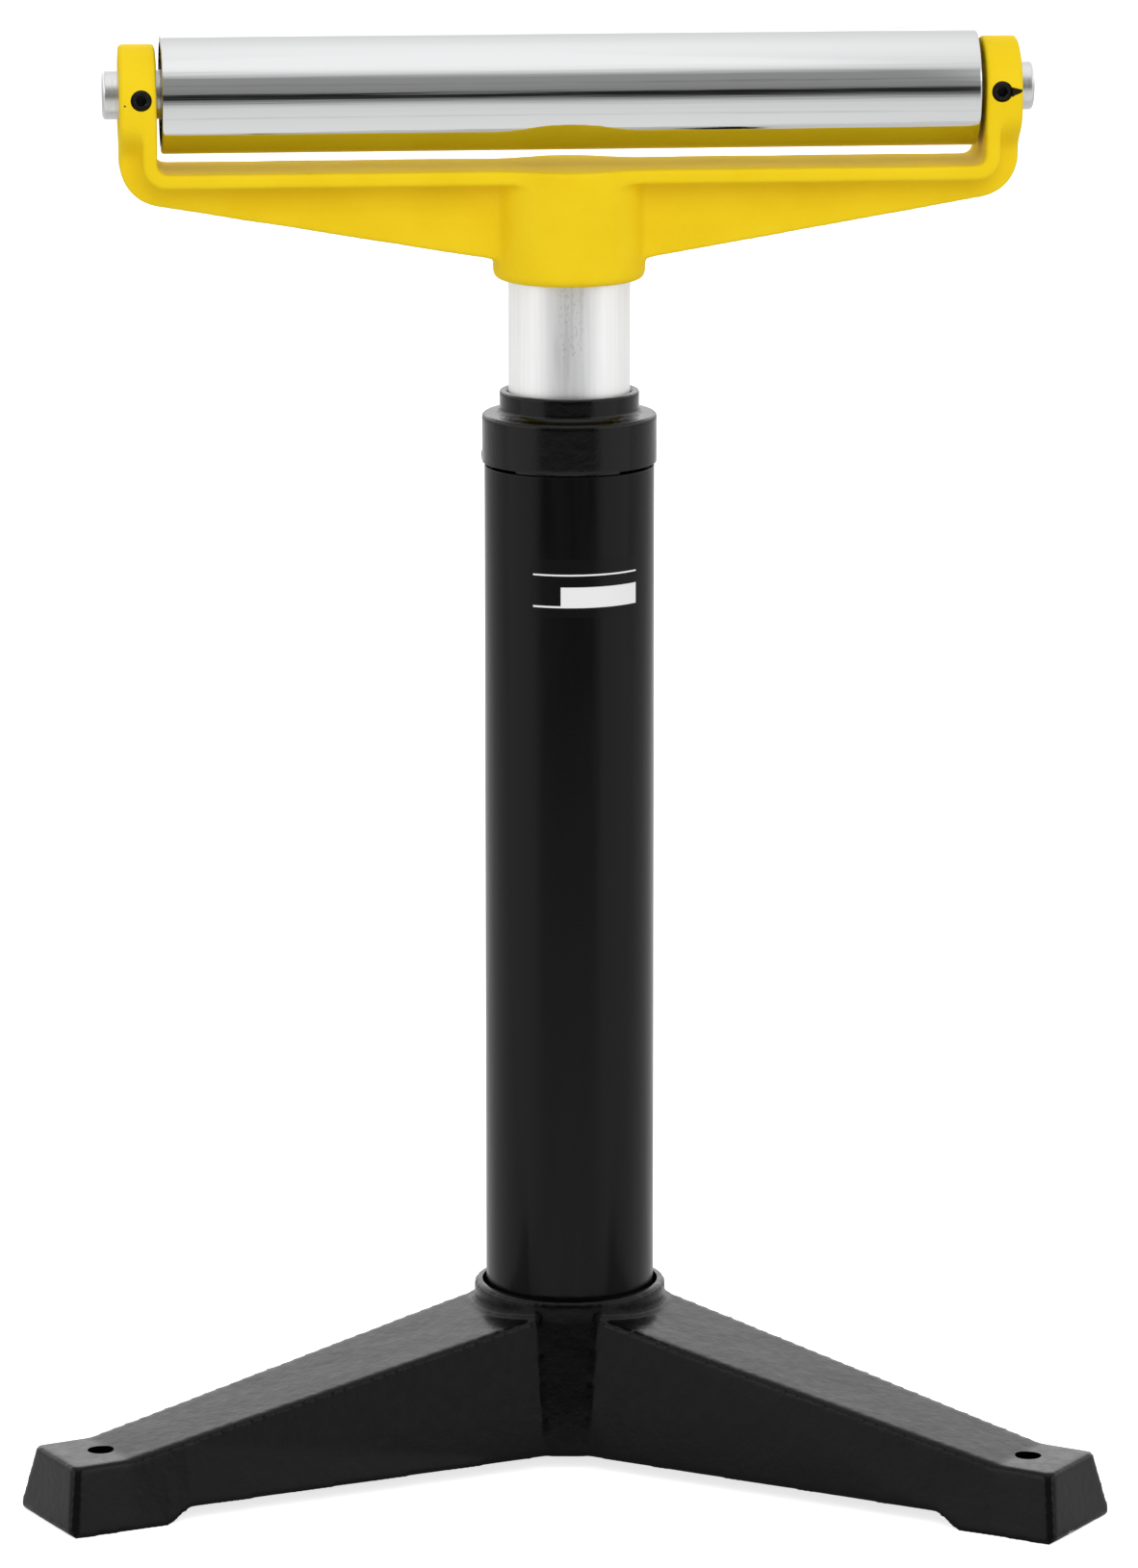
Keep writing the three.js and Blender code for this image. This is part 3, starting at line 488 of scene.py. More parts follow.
def drawn_zinc():
    steel = Finish("drawn_zinc", (0.90, 0.902, 0.905), 1.0, 0.5)
    streak = steel.ranged(steel.grain((1.4, 1.4, 90.0), 4.0), 0.3, 0.7, 0.0, 1.0)
    clean = steel.mixed(streak, (0.88, 0.882, 0.885), (0.92, 0.922, 0.925))
    reach = steel.near([(head_spot(-2.0, -25.0, 470.0 + 8.0 * i), 0.002) for i in range(4)])
    smudge = steel.math("MULTIPLY", steel.ranged(reach, 0.0, 0.006, 1.0, 0.0),
                        steel.ranged(steel.grain((1.0, 1.0, 2.2), 4.0), 0.5, 0.68, 0.0, 0.30))
    steel.colour(steel.mixed(smudge, clean, (0.36, 0.35, 0.335)))
    steel.roughness(steel.ranged(steel.grain((2.0, 2.0, 30.0), 4.0), 0.3, 0.7, 0.45, 0.57))
    steel.relief(steel.grain((1.1, 1.1, 60.0), 3.0), 0.018)
    return steel.material


def turned_steel():
    steel = Finish("turned_steel", (0.62, 0.624, 0.628), 1.0, 0.3)
    ring = steel.grain((0.5, 14.0, 14.0), 3.0, REST_SWIVEL)
    steel.roughness(steel.ranged(ring, 0.3, 0.7, 0.24, 0.38))
    steel.colour(steel.mixed(steel.grain(6.0, 3.0), (0.58, 0.584, 0.588), (0.66, 0.664, 0.668)))
    steel.relief(ring, 0.02)
    return steel.material


def black_oxide():
    steel = Finish("black_oxide", (0.018, 0.017, 0.017), 0.75, 0.42)
    rub = steel.ranged(steel.grain(1.5, 4.0), 0.5, 0.75, 0.0, 1.0)
    steel.colour(steel.mixed(rub, (0.014, 0.013, 0.013), (0.045, 0.043, 0.042)))
    steel.roughness(steel.ranged(steel.grain(0.8, 3.0), 0.3, 0.7, 0.34, 0.52))
    steel.relief(steel.grain(0.5, 2.0), 0.02)
    return steel.material


def phenolic():
    resin = Finish("phenolic_black", (0.010, 0.010, 0.010), 0.0, 0.16)
    resin.roughness(resin.ranged(resin.grain(4.0, 3.0), 0.3, 0.7, 0.12, 0.24))
    resin.relief(resin.grain(6.0, 1.0), 0.03)
    return resin.material


def bearing_steel():
    steel = Finish("bearing_steel", (0.66, 0.665, 0.67), 1.0, 0.2)
    steel.roughness(steel.ranged(steel.grain(1.2, 3.0), 0.3, 0.7, 0.15, 0.28))
    steel.relief(steel.grain(0.7, 2.0), 0.006)
    return steel.material


def seal_rubber():
    rubber = Finish("seal_rubber", (0.015, 0.015, 0.015), 0.0, 0.6)
    rubber.roughness(rubber.ranged(rubber.grain(1.0, 3.0), 0.3, 0.7, 0.5, 0.7))
    rubber.relief(rubber.grain(0.6, 2.0), 0.03)
    return rubber.material


def bush_nylon():
    nylon = Finish("bush_nylon", (0.70, 0.68, 0.60), 0.0, 0.45)
    nylon.colour(nylon.mixed(nylon.grain(9.0, 3.0), (0.66, 0.64, 0.56), (0.74, 0.72, 0.65)))
    nylon.relief(nylon.grain(1.2, 2.0), 0.02)
    return nylon.material


def label_film(name, colour, roughness):
    film = Finish(name, colour, 0.0, roughness, Specular_IOR_Level=0.19)
    film.roughness(film.ranged(film.grain(3.0, 3.0), 0.3, 0.7, roughness - 0.05, roughness + 0.05))
    film.relief(film.grain(2.0, 1.0), 0.008)
    return film.material


YELLOW = yellow_enamel()
BLACK_CAST = black_casting()
COLLAR_BLACK = collar_enamel()
SAW_CUT_SHADE = saw_cut_shade()
COLUMN_BLACK = column_enamel()
CHROME = roller_chrome()
ZINC = drawn_zinc()
STEEL = turned_steel()
OXIDE = black_oxide()
PHENOLIC = phenolic()
BEARING = bearing_steel()
RUBBER = seal_rubber()
NYLON = bush_nylon()
LABEL_BLACK = label_film("label_black", (0.001, 0.001, 0.001), 0.22)
LABEL_WHITE = label_film("label_white", (0.86, 0.86, 0.86), 0.40)


# Base casting


def lerp(a, b, t):
    return a + (b - a) * t


def clamped(t, low, high):
    return max(low, min(high, t))


def leg_share(x):
    return clamped((x - RIM_RADIUS) / (FOOT_REACH - FOOT_LEAN - FOOT_LENGTH - RIM_RADIUS), -1.0, 1.0)


def leg_top(x):
    return lerp(LEG_ROOT_TOP, FOOT_TOP, leg_share(x))


def leg_half(x, z):
    """Half width of a leg at its station x and height z."""
    root = (LEG_ROOT_FOOT_HALF - LEG_ROOT_HALF) / (LEG_ROOT_TOP - UNDERSIDE)
    foot = (FOOT_SOLE_HALF - FOOT_HALF) / FOOT_TOP
    draft = lerp(root, foot, leg_share(x))
    return lerp(LEG_ROOT_HALF, FOOT_HALF, leg_share(x)) + draft * (leg_top(x) - z)


def leg_bottom(x):
    return UNDERSIDE * (1.0 - clamped((x - PAD_MIDDLE) / PAD_RUN + 0.5, 0.0, 1.0))


def leg_ring(x, lean=0.0):
    low, top = leg_bottom(x), leg_top(x)
    corners = [(leg_half(x, low), low), (leg_half(x, top), top),
               (-leg_half(x, top), top), (-leg_half(x, low), low)]
    return [(x + lean * (1.0 - z / FOOT_TOP), y, z) for y, z in corners]


def leg():
    foot_end = FOOT_REACH - FOOT_LEAN
    pad = [PAD_MIDDLE - PAD_RUN / 2, PAD_MIDDLE + PAD_RUN / 2]
    rings = [leg_ring(x) for x in (0.0, RIM_RADIUS, *pad, foot_end - FOOT_LENGTH)]
    rings += [leg_ring(foot_end - 2.0, FOOT_LEAN)]
    rings += [[(x + 2.0, y - math.copysign(2.0, y), z + (2.0 if z < 1.0 else 0.0)) for x, y, z in rings[-1]]]
    return loft(rings)


def leg_hollow():
    def ring(x):
        roof, floor = leg_top(x) - LEG_ROOF, UNDERSIDE - 2.0
        corners = [(floor, 1), (roof, 1), (roof, -1), (floor, -1)]
        return [(x, side * (leg_half(x, z) - LEG_WALL), z) for z, side in corners]
    return loft([ring(HUB_FOOT_RADIUS + SEAT_GAP), ring(PAD_MIDDLE - PAD_RUN / 2 - LEG_WALL)])


BASE_SCREW_ANGLES = [math.radians(30.0), math.radians(150.0)]
BASE_SCREW_Z = 38.0
BASE_SCREW_TIP = COLUMN_RADIUS + SEAT_GAP
BASE_SCREW_FLUSH = 41.4


def tripod_base():
    straight = RIM_TOP - 8.0
    hub = turned([(0, UNDERSIDE), (HUB_FOOT_RADIUS, UNDERSIDE), (RIM_RADIUS, straight),
                  (RIM_RADIUS, RIM_TOP), (0, RIM_TOP)], 120)
    socket_radius = COLUMN_RADIUS + SEAT_GAP
    neck = RIM_TOP - RIM_DEPTH
    ledge = COLUMN_RADIUS - 7.0
    socket = turned([(0, UNDERSIDE - 2.0), (ledge, UNDERSIDE - 2.0), (ledge, SOCKET_FLOOR),
                     (socket_radius, SOCKET_FLOOR), (socket_radius, neck - 1.7), (RIM_BORE, neck),
                     (RIM_BORE, RIM_TOP + 2.0), (0, RIM_TOP + 2.0)], 120)
    foot_hole = moved(bar(FOOT_HOLE_RADIUS, -2.0, FOOT_TOP + 3.0, 48),
                      Matrix.Translation((FOOT_HOLE_REACH, 0.0, 0.0)))
    screw_hole = moved(along_x(bar(5.3, COLUMN_RADIUS - 0.5, HUB_FOOT_RADIUS + 3.0, 40)),
                       Matrix.Translation((0.0, 0.0, BASE_SCREW_Z)))
    cuts = [socket]
    cuts += [about_z(leg_hollow(), a) for a in LEG_ANGLES]
    cuts += [about_z(foot_hole, a) for a in LEG_ANGLES]
    cuts += [about_z(screw_hole, a) for a in BASE_SCREW_ANGLES]
    legs = [about_z(leg(), a) for a in LEG_ANGLES]
    return cast("tripod_base", [hub, *legs], cuts, 1.2, 7, 0.10, STAND, BLACK_CAST)


piece("tripod_base", tripod_base(), "stand", "black_casting", "base_casting")


# Column, with the bare label

turned_piece("column", softened([(COLUMN_BORE, COLUMN_BOTTOM), (COLUMN_RADIUS, COLUMN_BOTTOM),
                                 (COLUMN_RADIUS, COLUMN_TOP), (COLUMN_BORE, COLUMN_TOP)], 0.5),
             160, STAND, COLUMN_BLACK, "stand", "black_paint", "column_tube")


def column_label():
    """Bare film label: black field, two white rules and an empty white box, bent round the column."""
    front = -90.0 + 1.9
    columns = [-27.5, -25.6, -6.4, 50.0, 51.1]
    rows = [360.2, 364.3, 365.1, 372.9, 377.5, 378.2, 384.4]
    white_cells = {(1, 1), (2, 1), (2, 2), (1, 4), (2, 4)}
    under, over = COLUMN_RADIUS + 0.03, COLUMN_RADIUS + 0.13
    build = bmesh.new()
    stations = []
    for i, (left, right) in enumerate(zip(columns, columns[1:])):
        steps = max(1, round((right - left) / 2.0))
        stations += [(lerp(left, right, k / steps), i) for k in range(steps)]
    stations.append((columns[-1], len(columns) - 2))

    def corner(radius, turn, height):
        angle = math.radians(front + turn)
        return build.verts.new(STAND @ Vector((radius * math.cos(angle), radius * math.sin(angle), height)))

    faces = {}
    for depth, radius in enumerate((under, over)):
        faces[depth] = [[corner(radius, turn, z) for z in rows] for turn, _ in stations]
    for depth in (0, 1):
        for i in range(len(stations) - 1):
            for k in range(len(rows) - 1):
                grid = faces[depth]
                cell = build.faces.new([grid[i][k], grid[i + 1][k], grid[i + 1][k + 1], grid[i][k + 1]])
                cell.material_index = int(depth == 1 and (stations[i][1], k) in white_cells)
    rim = [(i, 0) for i in range(len(stations))]
    rim += [(len(stations) - 1, k) for k in range(1, len(rows))]
    rim += [(i, len(rows) - 1) for i in range(len(stations) - 2, -1, -1)]
    rim += [(0, k) for k in range(len(rows) - 2, 0, -1)]
    for (i, k), (m, n) in zip(rim, rim[1:] + rim[:1]):
        build.faces.new([faces[0][i][k], faces[0][m][n], faces[1][m][n], faces[1][i][k]])
    bmesh.ops.recalc_face_normals(build, faces=build.faces)
    mesh = bpy.data.meshes.new("column_label")
    build.to_mesh(mesh)
    build.free()
    mesh.materials.append(LABEL_BLACK)
    mesh.materials.append(LABEL_WHITE)
    return finished(mesh, LABEL_BLACK)


piece("column_label", column_label(), "stand", "black_paint")


# Clamp collar, its bolt and its lever


def collar():
    body = turned([(0, SPIGOT_BOTTOM), (SPIGOT_RADIUS, SPIGOT_BOTTOM), (SPIGOT_RADIUS, COLUMN_TOP + SEAT_GAP),
                   (COLUMN_RADIUS - 0.4, COLUMN_TOP + SEAT_GAP), (COLUMN_RADIUS - 0.4, FLANGE_BOTTOM),
                   (FLANGE_RADIUS, FLANGE_BOTTOM), (FLANGE_RADIUS, FLANGE_TOP - 0.9),
                   (FLANGE_RADIUS - 0.9, FLANGE_TOP),
                   (NECK_RADIUS + 1.6, FLANGE_TOP), (NECK_RADIUS, FLANGE_TOP + 1.6),
                   (NECK_RADIUS, NECK_TOP), (0, NECK_TOP)], 120)
    reach = (FLANGE_TOP - FLANGE_BOTTOM) / 2
    lug = [(NECK_RADIUS - 2.0, FLANGE_BOTTOM)]
    lug += arc(CLAMP_Y, CLAMP_Z, reach, -math.pi / 2, math.pi / 2, 24)
    lug += [(NECK_RADIUS - 2.0, FLANGE_TOP)]
    lugs = prism(lug, -LUG_OUTER, LUG_OUTER, across_x)
    burr = moved(turned([(0, -2.4), (1.0, -1.4), (1.3, 0), (1.0, 1.6), (0, 3.2)], 16),
                 Matrix.Translation((-FLANGE_RADIUS + 0.75, -2.0, FLANGE_BOTTOM + 2.4)))
    start = SAW_BRIDGE / 2 - math.pi / 2
    end = start + 2 * math.pi - SAW_BRIDGE
    blend = [(COLUMN_RADIUS + 0.15, COLUMN_TOP + 0.05), (COLUMN_RADIUS + 0.3, FLANGE_BOTTOM),
             (COLUMN_RADIUS + 0.9, FLANGE_BOTTOM + 2.4), (FLANGE_RADIUS, FLANGE_BOTTOM + 4.0)]
    bridge = loft([[(x, y, z) for x, y in arc(0, 0, r, start - SAW_BRIDGE, start, 36) + [(0.0, 0.0)]]
                   for r, z in blend])
    skirt = prism(arc(0, 0, FLANGE_RADIUS, start, end, 72) + [(0.0, 0.0)], COLUMN_TOP + 0.05, FLANGE_BOTTOM + 1.0)
    saw = prism(arc(0, 0, FLANGE_RADIUS + 3.0, start, end, 72) + arc(0, 0, SPIGOT_RADIUS - 0.4, end, start, 72),
                COLUMN_TOP, FLANGE_BOTTOM)
    rear = CLAMP_Y + reach + 3.0
    half = SPLIT_WIDTH / 2
    split = prism([(-half, 0.0), (half, 0.0), (half, rear), (-half, rear)], COLUMN_TOP + 1.0, NECK_TOP + 3.0)
    bore = turned([(0, SPIGOT_BOTTOM - 2.0), (GUIDE_BORE, SPIGOT_BOTTOM - 2.0), (GUIDE_BORE, NECK_TOP - 0.8),
                   (GUIDE_BORE + 1.6, NECK_TOP + 0.8), (GUIDE_BORE + 1.6, NECK_TOP + 2.0), (0, NECK_TOP + 2.0)], 120)
    bolt_hole = moved(along_x(bar(CLAMP_HOLE, -LUG_OUTER - 2.0, LUG_OUTER + 2.0, 40)),
                      Matrix.Translation((0.0, CLAMP_Y, CLAMP_Z)))
    shells = [body, lugs, bridge, skirt, burr]
    made = cast("collar", shells, [bore, saw, split, bolt_hole], 0.6, 5, 0.06, STAND, COLLAR_BLACK)
    # Faces inside the saw cut take the painted-shade black finish.
    made.materials.append(SAW_CUT_SHADE)
    to_stand = STAND.inverted()
    for face in made.polygons:
        x, y, z = to_stand @ face.center
        in_shaded_cut = COLUMN_TOP - 0.05 < z < FLANGE_BOTTOM + 0.05 and math.hypot(x, y) < COLUMN_RADIUS - 0.1
        face.material_index = int(in_shaded_cut)
    return made


piece("collar", collar(), "stand", "black_casting", "clamp_collar")

BOSS_INNER = 15.1
BOSS_OUTER = 27.1
LEVER_ARM_X = -(BOSS_INNER + BOSS_OUTER) / 2
LEVER_LENGTH = 92.0
KNOB_RADIUS = 10.0


def hex_bolt():
    """Hexagon bolt along X with a chamfered head and a domed thread end."""
    head_low, head_high = 12.8, 19.2
    across = 8.5 / math.cos(math.pi / 6)
    head = prism([(across * math.cos(a), across * math.sin(a))
                  for a in (math.pi / 3 * i for i in range(6))], head_low, head_high)
    build = shown("hex_bolt", mesh_of("hex_bolt", [head]))
    cone = turned([(0, head_low - 1), (12.0, head_low - 1), (12.0, head_high - 1.6), (8.1, head_high + 0.02),
                   (0, head_high + 0.02)], 72)
    tool = shown("crown", mesh_of("crown", [cone]))
    crown = build.modifiers.new("crown", "BOOLEAN")
    crown.operation = "INTERSECT"
    crown.solver = "EXACT"
    crown.object = tool
    mesh = settled(build)
    bpy.data.objects.remove(tool)
    shank = mesh_of("shank", [turned([(0, -28.4), (3.9, -28.4), (5.0, -27.4), (5.0, head_low - 0.01),
                                      (0, head_low - 0.01)], 48)])
    whole = bmesh.new()
    whole.from_mesh(mesh)
    whole.from_mesh(shank)
    whole.transform(CLAMP_LINE)
    whole.to_mesh(mesh)
    whole.free()
    return finished(mesh, ZINC, 25.0)


def lever_arm():
    boss = along_x(turned([(0, -BOSS_OUTER), (11.0, -BOSS_OUTER), (11.0, -BOSS_INNER), (0, -BOSS_INNER)], 72))
    arm = moved(turned([(0, 0), (5.5, 0), (4.0, -LEVER_LENGTH), (0, -LEVER_LENGTH)], 48),
                Matrix.Translation((LEVER_ARM_X, 0.0, 0.0)))
    bore = along_x(bar(CLAMP_HOLE, -BOSS_OUTER - 2.0, -BOSS_INNER + 2.0, 40))
    return cast("lever_arm", [boss, arm], [bore], 0.45, 8, 0.04, LEVER, OXIDE)


def lever_ball():
    """Ball knob with a flat neck and a hole for the lever's tip."""
    centre = -LEVER_LENGTH + 9.0 - 6.0
    neck = math.acos(0.6)
    ball = [(KNOB_RADIUS * math.cos(a), centre + KNOB_RADIUS * math.sin(a))
            for a in (lerp(-math.pi / 2, math.pi / 2 - neck, i / 28) for i in range(29))]
    ball[0] = (0, ball[0][1])
    top = ball[-1][1]
    hole = 4.45
    outline = ball + [(hole + 0.6, top), (hole, top - 0.5), (hole, -LEVER_LENGTH - SEAT_GAP),
                      (0, -LEVER_LENGTH - SEAT_GAP)]
    return moved(turned(outline, 72), Matrix.Translation((LEVER_ARM_X, 0.0, 0.0)))


piece("clamp_hex_bolt", hex_bolt(), "stand", "zinc_steel", "clamp_bolt")
turned_piece("clamp_plain_washer", softened([(CLAMP_HOLE, -14.8), (10.5, -14.8), (10.5, -12.8), (CLAMP_HOLE, -12.8)],
                                            0.5), 72, CLAMP_LINE, ZINC, "stand", "zinc_steel", "clamp_washer")
piece("lever_arm", lever_arm(), "clamp_handle", "black_steel", "clamp_lever")
piece("lever_ball", finished(mesh_of("lever_ball", [lever_ball()], LEVER), PHENOLIC),
      "clamp_handle", "black_plastic", "lever_knob")


# Post and its guide bush


def post_outline():
    grooves = []
    for z in CLIP_GROOVES:
        grooves += [(POST_RADIUS, z), (CLIP_GROOVE_RADIUS, z), (CLIP_GROOVE_RADIUS, z + CLIP_GROOVE_WIDTH),
                    (POST_RADIUS, z + CLIP_GROOVE_WIDTH)]
    ends = [(POST_BORE, POST_BOTTOM), (POST_RADIUS, POST_BOTTOM)]
    return softened([*ends, *grooves, (POST_RADIUS, POST_TOP), (POST_BORE, POST_TOP)], 0.4, 3)


turned_piece("post", post_outline(), 160, HEAD, ZINC, "head", "zinc_steel", "post_tube")
turned_piece("guide_bush_ring", softened([(GUIDE_BORE, BUSH_BOTTOM), (BUSH_RADIUS, BUSH_BOTTOM),
                                          (BUSH_RADIUS, BUSH_TOP), (GUIDE_BORE, BUSH_TOP)], 1.5),
             120, STAND, NYLON, "guide_bush", "pale_plastic", "post_guide_bush")


# Yoke casting


def band():
    """Inner face of the U that carries the roller."""
    outer, bottom_end = EAR_INNER + BAND, AXLE_HEIGHT - AXLE_HOLE
    big = BAND_CORNER + BAND
    centre, height = EAR_INNER - BAND_CORNER, BAR_TOP + BAND_CORNER
    outline = [(-outer, bottom_end)]
    outline += arc(-centre, height, big, math.pi, 1.5 * math.pi, 16)
    outline += arc(centre, height, big, 1.5 * math.pi, 2 * math.pi, 16)
    outline += [(outer, bottom_end), (EAR_INNER, bottom_end)]
    outline += arc(centre, height, BAND_CORNER, 0.0, -math.pi / 2, 12)
    outline += arc(-centre, height, BAND_CORNER, 1.5 * math.pi, math.pi, 12)
    outline += [(-EAR_INNER, bottom_end)]
    return prism(outline, -YOKE_HALF_DEPTH, YOKE_HALF_DEPTH, across_y)


def web():
    """Wall under the bar, from the hub out to the rounded corners of the ears."""
    root, tip = BAR_TOP - WEB_ROOT_DROP, BAR_TOP - WEB_TIP_DROP
    slope = math.atan2(tip - root, EAR_OUTER - YOKE_HUB_RADIUS)
    centre_x = EAR_OUTER - EAR_CORNER
    centre_z = root + math.tan(slope) * (centre_x - YOKE_HUB_RADIUS) + EAR_CORNER / math.cos(slope)
    top = AXLE_HEIGHT - AXLE_HOLE
    inner_x, inner_z = EAR_INNER + BAND / 2, BAR_TOP - BAND / 2
    right = [(YOKE_HUB_RADIUS, root)]
    right += arc(centre_x, centre_z, EAR_CORNER, slope - math.pi / 2, 0.0, 24)
    right += [(EAR_OUTER, top), (inner_x, top), (inner_x, inner_z)]
    left = [(-x, z) for x, z in reversed(right)]
    return prism(right + left, -WEB_HALF, WEB_HALF, across_y)


def bezier(a, b, c, d, steps):
    points = []
    for i in range(steps + 1):
        t = i / steps
        weights = ((1 - t) ** 3, 3 * t * (1 - t) ** 2, 3 * t * t * (1 - t), t ** 3)
        points.append(tuple(sum(w * p[k] for w, p in zip(weights, (a, b, c, d))) for k in (0, 1)))
    return points


def ear(side):
    """Ear with a round top a little lower than the axle, fading below into the thinner web."""
    half, thin = YOKE_HALF_DEPTH, WEB_HALF - 1.2
    skirt = AXLE_HEIGHT - EAR_SKIRT
    foot = skirt - EAR_FADE
    outline = arc(0.0, AXLE_HEIGHT - EAR_DROP, half, 0.0, math.pi, 48)
    fade = bezier((-half, skirt), (-half, skirt - EAR_FADE / 2), (-thin, foot + EAR_FADE / 2), (-thin, foot), 12)
    outline += fade + [(-y, z) for y, z in reversed(fade)]
    return prism(outline, side * EAR_INNER, side * EAR_OUTER, across_x)


def swollen(half, fillet, low, high):
    """Wall of the given half width that swells round the hub."""
    centre_y = half + fillet
    centre_x = math.sqrt((YOKE_HUB_RADIUS + fillet) ** 2 - centre_y ** 2)
    lean = math.atan2(centre_y, centre_x)
    quarter = arc(centre_x, centre_y, fillet, -math.pi / 2, lean - math.pi, 16)
    quarter += arc(0.0, 0.0, YOKE_HUB_RADIUS, lean, math.pi / 2, 16)
    rear = quarter + [(-x, y) for x, y in reversed(quarter[:-1])]
    front = [(x, -y) for x, y in reversed(rear)]
    return prism(rear + front, low, high)


HUB_SCREW_ANGLES = [math.radians(60.0), math.radians(120.0)]
HUB_SCREW_Z = 511.2
AXLE_SCREW_X = 174.85


def yoke():
    edge = arc(YOKE_HUB_RADIUS - YOKE_HUB_EDGE, YOKE_HUB_BOTTOM + YOKE_HUB_EDGE, YOKE_HUB_EDGE,
               -math.pi / 2, 0.0, 8)
    hub = turned([(0, YOKE_HUB_BOTTOM), *edge, (YOKE_HUB_RADIUS, BAR_TOP), (0, BAR_TOP)], 120)
    shells = [hub, band(), web(), ear(1), ear(-1),
              swollen(YOKE_HALF_DEPTH, BULGE_FILLET, BAR_TOP - BAND, BAR_TOP),
              swollen(WEB_HALF, WEB_FILLET, BAR_TOP - WEB_ROOT_DROP, BAR_TOP - BAND / 2)]
    post_bore = bar(YOKE_BORE, YOKE_HUB_BOTTOM - 2.0, BAR_TOP - POST_CAP, 120)
    axle_bore = moved(along_x(bar(AXLE_HOLE, -EAR_OUTER - 2.0, EAR_OUTER + 2.0, 80)),
                      Matrix.Translation((0.0, 0.0, AXLE_HEIGHT)))
    cuts = [post_bore, axle_bore]
    upright = Matrix.Rotation(math.pi / 2, 4, "X")
    for side in (-1, 1):
        hole = moved(bar(4.3, 0.0, YOKE_HALF_DEPTH + 3.0, 48), upright)
        cuts.append(moved(hole, Matrix.Translation((side * AXLE_SCREW_X, 0.0, AXLE_HEIGHT))))
    for angle in HUB_SCREW_ANGLES:
        hole = moved(along_x(bar(4.3, POST_RADIUS - 1.0, YOKE_HUB_RADIUS + 3.0, 40)),
                     Matrix.Translation((0.0, 0.0, HUB_SCREW_Z)))
        cuts.append(about_z(hole, angle))
    return cast("yoke", shells, cuts, 1.0, 11, 0.16, HEAD, YELLOW)


piece("yoke", yoke(), "head", "yellow_paint", "yoke_casting")


# Axle, roller and bearings

GROOVE_X = BEARING_OUTER_FACE
GROOVE_WIDTH = 1.8
AXLE_CHAMFER = 1.5


def both_ways(right):
    """Outline of a shaft that is the same to both sides of its middle."""
    return [(r, -x) for r, x in reversed(right)] + right


def axle_outline():
    deep = AXLE_RADIUS - 0.5
    nose = [(AXLE_RADIUS - AXLE_CHAMFER * (1 - math.cos(a)), AXLE_HALF - AXLE_CHAMFER * (1 - math.sin(a)))
            for a in (math.pi / 2 * i / 6 for i in range(7))]
    right = [(AXLE_RADIUS, GROOVE_X), (deep, GROOVE_X), (deep, GROOVE_X + GROOVE_WIDTH),
             (AXLE_RADIUS, GROOVE_X + GROOVE_WIDTH), *nose, (0, AXLE_HALF)]
    return both_ways(right)


def roller_outline():
    shoulder = BEARING_INNER_FACE - SEAT_GAP
    right = [(ROLLER_INNER, shoulder), (ROLLER_BORE, shoulder), (ROLLER_BORE, ROLLER_HALF),
             (ROLLER_RADIUS - 0.9, ROLLER_HALF), (ROLLER_RADIUS - 0.25, ROLLER_HALF - 0.3),
             (ROLLER_RADIUS, ROLLER_HALF - 1.0)]
    return both_ways(right)


turned_piece("axle_bar", axle_outline(), 96, AXLE_LINE, STEEL, "head", "zinc_steel", "axle")
turned_piece("roller", roller_outline(), 256, AXLE_LINE, CHROME, "roller", "chrome", "roller_tube")

GROOVE_RADIUS = 3.675


def race_groove(facing):
    reach = math.acos(RACE_LIP / GROOVE_RADIUS)
    start = facing * math.pi / 2
    return [(PITCH_RADIUS + y, x) for x, y in arc(0.0, 0.0, GROOVE_RADIUS, start - reach, start + reach, 12)]


INNER_RACE = [(AXLE_HOLE, 6.0), (AXLE_HOLE, -6.0), (PITCH_RADIUS - RACE_LIP, -6.0), *race_groove(-1),
              (PITCH_RADIUS - RACE_LIP, 6.0)]
OUTER_RACE = [(PITCH_RADIUS + RACE_LIP, -6.0), (BEARING_RADIUS - 0.6, -6.0), (BEARING_RADIUS, -5.4),
              (BEARING_RADIUS, 5.4), (BEARING_RADIUS - 0.6, 6.0), (PITCH_RADIUS + RACE_LIP, 6.0), *race_groove(1)]
SEAL_IN, SEAL_OUT = PITCH_RADIUS - RACE_LIP + SEAT_GAP, PITCH_RADIUS + RACE_LIP - SEAT_GAP


def seal_outline(outer):
    """Seal ring with a shallow pressed groove in its outer face."""
    inner = outer - 0.8
    return [(SEAL_IN, inner), (SEAL_OUT, inner), (SEAL_OUT, outer), (PITCH_RADIUS + 0.9, outer),
            (PITCH_RADIUS + 0.6, outer - 0.3), (PITCH_RADIUS - 0.6, outer - 0.3), (PITCH_RADIUS - 0.9, outer),
            (SEAL_IN, outer)]


def mirrored(outline):
    return [(r, -x) for r, x in reversed(outline)]


for hand, side in (("left", -1), ("right", 1)):
    middle = side * (BEARING_OUTER_FACE + BEARING_INNER_FACE) / 2
    at = AXLE_LINE @ Matrix.Translation((0.0, 0.0, middle))
    turned_piece(f"race_inner_{hand}", INNER_RACE, 72, at, BEARING, "head", "bearing_steel",
                 f"bearing_inner_race_{hand}")
    turned_piece(f"race_outer_{hand}", OUTER_RACE, 96, at, BEARING, "roller", "bearing_steel",
                 f"bearing_outer_race_{hand}")
    turned_piece(f"seal_{hand}_a", seal_outline(5.6), 72, at, RUBBER, "roller", "black_rubber",
                 f"bearing_seal_{hand}_a")
    turned_piece(f"seal_{hand}_b", mirrored(seal_outline(5.6)), 72, at, RUBBER, "roller", "black_rubber",
                 f"bearing_seal_{hand}_b")


# Geometry Nodes: rows of set screws, and the ball cages


